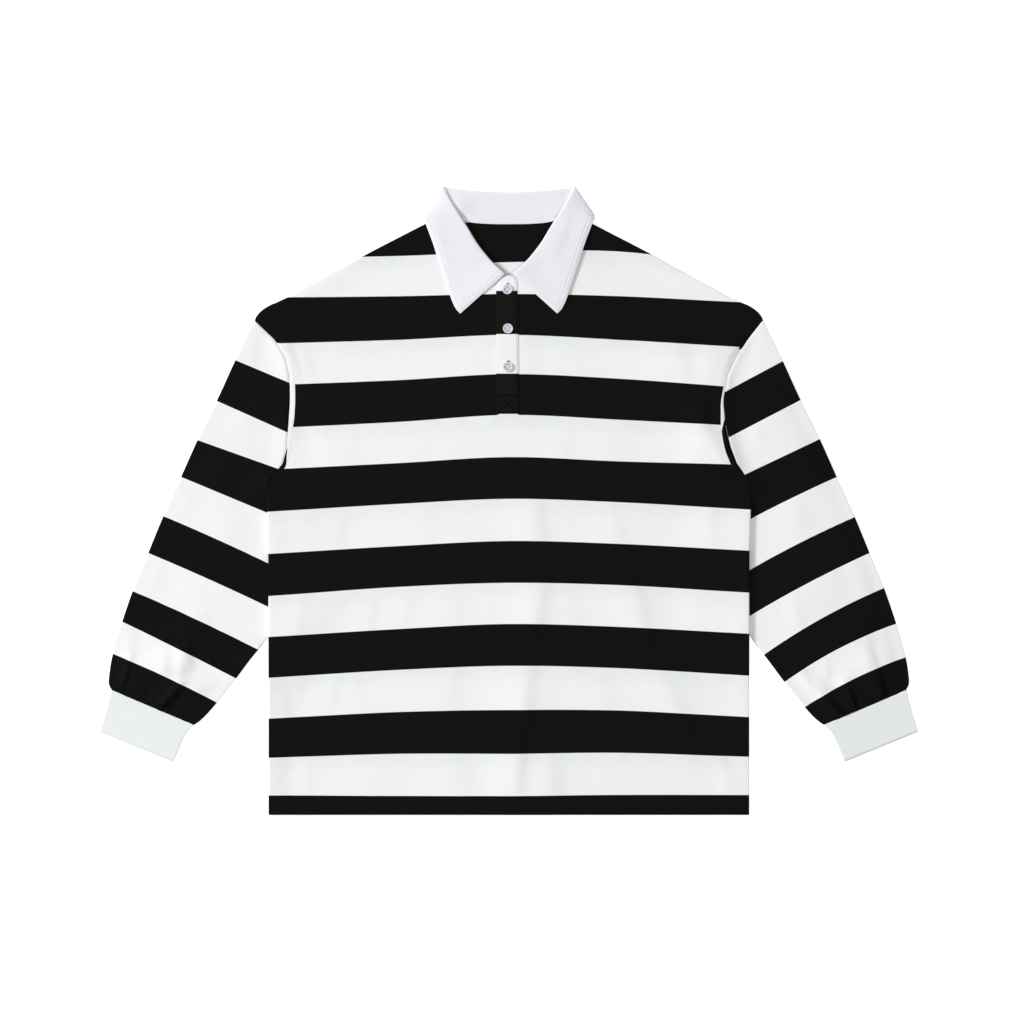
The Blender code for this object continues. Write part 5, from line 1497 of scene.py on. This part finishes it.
def twill():
    """Pressed cotton twill: a crisp, even white with fine diagonal ribs."""
    material, tree = new_material("washed_white_cotton_twill")
    spot, across, down = in_mm(tree)
    shade = node(tree, "ShaderNodeTexNoise", {"Vector": spot, "Scale": 0.05, "Detail": 3.0})
    yarn = node(tree, "ShaderNodeTexNoise", {"Vector": spot, "Scale": 1.2, "Detail": 2.0})
    # Twill ribs 0.9 mm apart, drawn about twice as coarse as real so that they show
    slant = node(tree, "ShaderNodeMath", {0: across, 1: down}, operation="ADD")
    height = fine_relief(tree, ribbed(tree, slant, 0.9), 0.03, yarn, 0.08)
    height = sewn_down(tree, height, COLLAR_STITCH_IN, 1.3)
    base = node(tree, "ShaderNodeMix", {0: shade, 6: "#EBECF2", 7: "#EFF0F6"}, data_type="RGBA")
    finish_material(tree, base, height, distance=0.001, strength=0.8,
                    Roughness=0.85, Specular_IOR_Level=0.15, Sheen_Weight=0.03, Sheen_Roughness=0.5)
    return material


def rib_knit():
    """Fine cotton rib knit: matt white. Its ribs are in the mesh."""
    material, tree = new_material("white_cotton_rib_knit")
    spot = in_mm(tree)[0]
    shade = node(tree, "ShaderNodeTexNoise", {"Vector": spot, "Scale": 0.05, "Detail": 3.0})
    yarn = node(tree, "ShaderNodeTexNoise", {"Vector": spot, "Scale": 1.0, "Detail": 2.0})
    height = node(tree, "ShaderNodeMath", {0: yarn, 1: 0.1}, operation="MULTIPLY")
    base = node(tree, "ShaderNodeMix", {0: shade, 6: "#E7EAEC", 7: "#ECEFEF"}, data_type="RGBA")
    finish_material(tree, base, height, distance=0.001, strength=0.8,
                    Roughness=0.95, Specular_IOR_Level=0.06, Sheen_Weight=0.03, Sheen_Roughness=0.6)
    return material


def tape_cloth():
    """Herringbone cotton tape: white, smooth and firm."""
    material, tree = new_material("white_cotton_tape")
    spot, across, down = in_mm(tree)
    shade = node(tree, "ShaderNodeTexNoise", {"Vector": spot, "Scale": 0.4})
    # Herringbone 3 mm wide with ribs 0.8 mm apart, near the real ones
    zigzag = node(tree, "ShaderNodeMath", {0: across, 1: 1.5}, operation="PINGPONG")
    slant = node(tree, "ShaderNodeMath", {0: zigzag, 1: down}, operation="ADD")
    base = node(tree, "ShaderNodeMix", {0: shade, 6: "#F0F1F5", 7: "#F4F5F8"}, data_type="RGBA")
    finish_material(tree, base, ribbed(tree, slant, 0.8), distance=0.0001, strength=0.6,
                    Roughness=0.9, Specular_IOR_Level=0.1)
    return material


def pearl_polyester():
    """Cast polyester button: a cool translucent grey-blue with a polished face and faint clouds, its dished
    middle painted darker than its rim as shade.
    """
    material, tree = new_material("cast_polyester_pearl")
    spot = node(tree, "ShaderNodeTexCoord").outputs["Object"]
    # Clouds about 2.5 mm across
    cloud = node(tree, "ShaderNodeTexNoise", {"Vector": spot, "Scale": 420.0, "Detail": 3.0})
    edge = node(tree, "ShaderNodeAttribute", attribute_name="edge").outputs["Fac"]
    # Painted shade: the dished middle is coloured darker than the rim
    dish = node(tree, "ShaderNodeMapRange", {"Value": edge, "From Min": 1.2, "From Max": 2.4},
                interpolation_type="SMOOTHSTEP")
    rim = node(tree, "ShaderNodeMix", {0: cloud, 6: "#CDD4E0", 7: "#E2E7EF"}, data_type="RGBA")
    face = node(tree, "ShaderNodeMix", {0: cloud, 6: "#A2A9B7", 7: "#BCC3CF"}, data_type="RGBA")
    base = node(tree, "ShaderNodeMix", {0: dish, 6: rim, 7: face}, data_type="RGBA")
    finish_material(tree, base, cloud, distance=0.0001, strength=0.2,
                    Roughness=0.3, IOR=1.5, Coat_Weight=0.2, Coat_Roughness=0.08, Subsurface_Weight=0.15,
                    Subsurface_Scale=0.002)
    return material


def sewing_thread(name, low, high, lustre):
    """Spun polyester sewing thread: two twisted strands, with more lustre when white."""
    material, tree = new_material(name)
    spot = node(tree, "ShaderNodeTexCoord").outputs["Object"]
    twist = node(tree, "ShaderNodeTexWave", {"Vector": spot, "Scale": 900.0},
                 bands_direction="DIAGONAL").outputs["Fac"]
    base = node(tree, "ShaderNodeMix", {0: twist, 6: low, 7: high}, data_type="RGBA")
    finish_material(tree, base, twist, distance=0.0001, strength=0.5,
                    Roughness=0.6, Specular_IOR_Level=lustre)
    return material


def table_top():
    """Pale studio table, bright enough to read as a white ground."""
    material, tree = new_material("white_studio_table")
    spot = node(tree, "ShaderNodeTexCoord").outputs["Object"]
    fine = node(tree, "ShaderNodeTexNoise", {"Vector": spot, "Scale": 300.0})
    base = node(tree, "ShaderNodeMix", {0: fine, 6: "#FAFAFA", 7: "#FCFCFC"}, data_type="RGBA")
    finish_material(tree, base, fine, distance=0.0001, strength=0.1,
                    Roughness=0.9, Specular_IOR_Level=0.1, Emission_Color=(1, 1, 1, 1),
                    Emission_Strength=0.6)
    return material


# ---------------------------------------------------------------- pieces of the shirt

def declare(piece, nodes):
    """A piece that stands for CAD nodes and moves with the garment."""
    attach(piece, "root")
    if nodes:
        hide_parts(*nodes)
    return piece


body_cloth = jersey("combed_cotton_jersey", HEM_DEPTH, 0.8)
sleeve_cloth = jersey("combed_cotton_jersey_sleeve")
placket_cloth = jersey("combed_cotton_jersey_placket", PLACKET_STITCH_IN, 0.0, ("#090908", "#171715"))
strip_cloth = jersey("combed_cotton_jersey_seam")
collar_cloth = twill()
cuff_cloth = rib_knit()
tape_material = tape_cloth()
pearl = pearl_polyester()
white_thread = sewing_thread("white_spun_polyester_thread", "#E6E7EA", "#F4F4F6", 0.2)
black_thread = sewing_thread("black_spun_polyester_thread", "#020202", "#070707", 0.04)

front = declare(build_front(body_cloth), ["front"])
back = declare(build_back(body_cloth), ["back"])
sleeves = [declare(build_sleeve("sleeve_tube_" + word, side, sleeve_cloth), ["sleeve_" + word]) for word, side in SIDES.items()]
cuffs = [declare(build_cuff("cuff_tube_" + word, side, cuff_cloth), ["cuff_" + word])
         for word, side in SIDES.items()]
for word, side in SIDES.items():
    declare(build_strip("armhole_seam_" + word, side, strip_cloth), ["armhole_strip_" + word])
collar = declare(build_collar(collar_cloth), ["collar"])
declare(build_tape(tape_material), ["neck_tape"])
placket = declare(build_placket(placket_cloth), ["placket"])
under_placket = declare(build_under_placket(placket_cloth), ["placket_under"])
for button_name, button_x, button_y in BUTTONS:
    declare(build_button(button_name, button_x, button_y, pearl), [button_name])


# ---------------------------------------------------------------- sewing

def on_placket(path):
    """A path laid on the placket, in parts on its white and on its black stripes."""
    return split_by_colour(on_surface(path, placket_height), between(path[:, 1], PLACKET_STRIPES))


def hem_stitches():
    """One row at the hem's depth."""
    line = even([(-CHEST_HALF + 1.5, HEM_Y + HEM_DEPTH), (CHEST_HALF - 1.5, HEM_Y + HEM_DEPTH)])
    return [on_surface(line, front_top)]


def armhole_stitches():
    """Rows along both edges of each armhole seam, of which only those on black show."""
    paths = []
    for side in SIDES.values():
        for share in STRIP_STITCH_SHARES:
            path = even(strip_plan(side, [share])[:, 0])
            laid = on_surface(path, front_top, STRIP_RISE + 0.15)
            paths += split_by_colour(laid, strip_count(path, side, share))[1]
    return paths


def placket_lines():
    """Rows down the placket's two edges, and those of the crossed box at its foot."""
    left, right = PLACKET_TOP[0][0] + PLACKET_STITCH_IN, PLACKET_TOP[-1][0] - PLACKET_STITCH_IN
    foot, box_right = PLACKET_FOOT_Y + PLACKET_STITCH_IN, right + PLACKET_LEAN
    edges = [[(left, foot), (left, 250)], [(box_right, foot), (right + 0.2, 262)]]
    box = [[(left, foot), (box_right, foot)], [(left, BOX_TOP_Y), (box_right, BOX_TOP_Y)],
           [(left + 1, foot + 1), (box_right - 1, BOX_TOP_Y - 1)],
           [(left + 1, BOX_TOP_Y - 1), (box_right - 1, foot + 1)]]
    return edges, box


def cuff_seams():
    """Row that wanders a little along each cuff's seam."""
    paths = []
    for side in SIDES.values():
        line = even([OUTER_LINE[-1] + CUFF_ACROSS * 1.5, INNER_LINE[-1] - CUFF_ACROSS * 1.5], 0.8)
        run = np.linspace(0, 1, len(line))
        wander = 0.5 * np.sin(run * 31 + side) * np.sin(run * 13) + 0.1
        heights = np.full(len(run), CUFF_HEIGHT - 0.35)
        paths.append(np.column_stack([line + np.outer(wander, CUFF_UP), heights]) * (side, 1, 1))
    return paths


def button_threads():
    """Two bars of thread side by side across each button's face, crossed over another two."""
    paths = []
    for _, x, y in BUTTONS:
        z = button_base(x, y) + BUTTON_HEIGHT - BUTTON_DISH + 0.25
        for dy in (BUTTON_HOLE_OFFSET, -BUTTON_HOLE_OFFSET):
            paths += [[(x - 1.5, y - dy + lean, z), (x + 1.5, y + dy + lean, z)] for lean in (-0.3, 0.3)]
    return paths


rows_of_stitches = stitch_tree()
black_paths = hem_stitches() + armhole_stitches()
white_paths, box_paths, white_rims, black_rims = [], [], [], []
for lines, black_lines in zip(placket_lines(), (black_paths, box_paths)):
    for line in lines:
        on_white, on_black = on_placket(even(line))
        white_paths += on_white
        black_lines += on_black
for _, button_x, button_y in BUTTONS:
    for line in buttonhole_rim(button_x + BUTTONHOLE_SHIFT, button_y + BUTTONHOLE_SHIFT):
        on_white, on_black = on_placket(even(line, 0.6))
        white_rims += on_white
        black_rims += on_black

# name, paths, thread, slot, and where they differ pitch, length and thickness of the stitches
SEWN = [
    ("cuff_seam_stitching", cuff_seams(), black_thread, "striped_jersey", 1.5, 3.0, 0.9),
    ("buttonhole_white", white_rims, white_thread, "striped_jersey", 0.55, 0.9, 0.5),
    ("buttonhole_black", black_rims, black_thread, "striped_jersey", 0.55, 0.9, 0.5),
    ("black_stitching", black_paths, black_thread, "striped_jersey"),
    ("placket_box_stitching", box_paths, black_thread, "striped_jersey", 2.4, 2.5, 1.1),
    ("white_stitching", white_paths, white_thread, "striped_jersey"),
    ("button_thread", button_threads(), white_thread, "button", 4.0, 4.6, 0.9),
]
for name, paths, yarn, slot_name, *sizes in SEWN:
    declare(sew(name, paths, rows_of_stitches, yarn, *sizes), [])
# Painted shade in the buttonholes' openings
declare(build_buttonhole_shade(black_thread), [])

# ---------------------------------------------------------------- stage, light and camera

def area_light(name, place, aim, size, watts):
    """Soft square light aimed at a point."""
    light = bpy.data.lights.new(name, "AREA")
    light.shape = "SQUARE"
    light.size = size
    light.energy = watts
    lamp = new_object(name, light)
    lamp.location = place
    lamp.rotation_euler = (Vector(aim) - Vector(place)).to_track_quat("-Z", "Y").to_euler()
    lamp.visible_camera = False


# Places and sizes in metres, light in watts
table_mesh = bpy.data.meshes.new("table_top")
table_mesh.from_pydata([(-4, -4, 0), (4, -4, 0), (4, 4, 0), (-4, 4, 0)], [], [(0, 1, 2, 3)])
table_mesh.materials.append(table_top())
table = new_object("table_top", table_mesh)

# Even white light from all round, and two softboxes
world = bpy.data.worlds.new("studio")
world.use_nodes = True
around = world.node_tree.nodes["Background"]
around.inputs["Color"].default_value = (1, 1, 1, 1)
around.inputs["Strength"].default_value = 0.285
bpy.context.scene.world = world
bpy.context.scene.view_settings.view_transform = "Standard"
area_light("key_softbox", (-5.2, 1.9, 3.4), (0, 0, 0), 1.6, 365)
area_light("fill_softbox", (0.5, -0.7, 2.8), (0, 0, 0), 2.2, 27)

CAMERA_HEIGHT = 4.0
VIEW_WIDTH = 1.2237       # of the picture, at the height of the front
VIEW_MIDDLE = (0.0037, -0.0134)
SENSOR = 36
camera = new_object("overhead_camera", bpy.data.cameras.new("overhead_camera"))
camera.data.sensor_width = SENSOR
camera.data.lens = SENSOR * (CAMERA_HEIGHT - FOLD_HEIGHT * MM) / VIEW_WIDTH
camera.location = (*VIEW_MIDDLE, CAMERA_HEIGHT)
bpy.context.scene.camera = camera
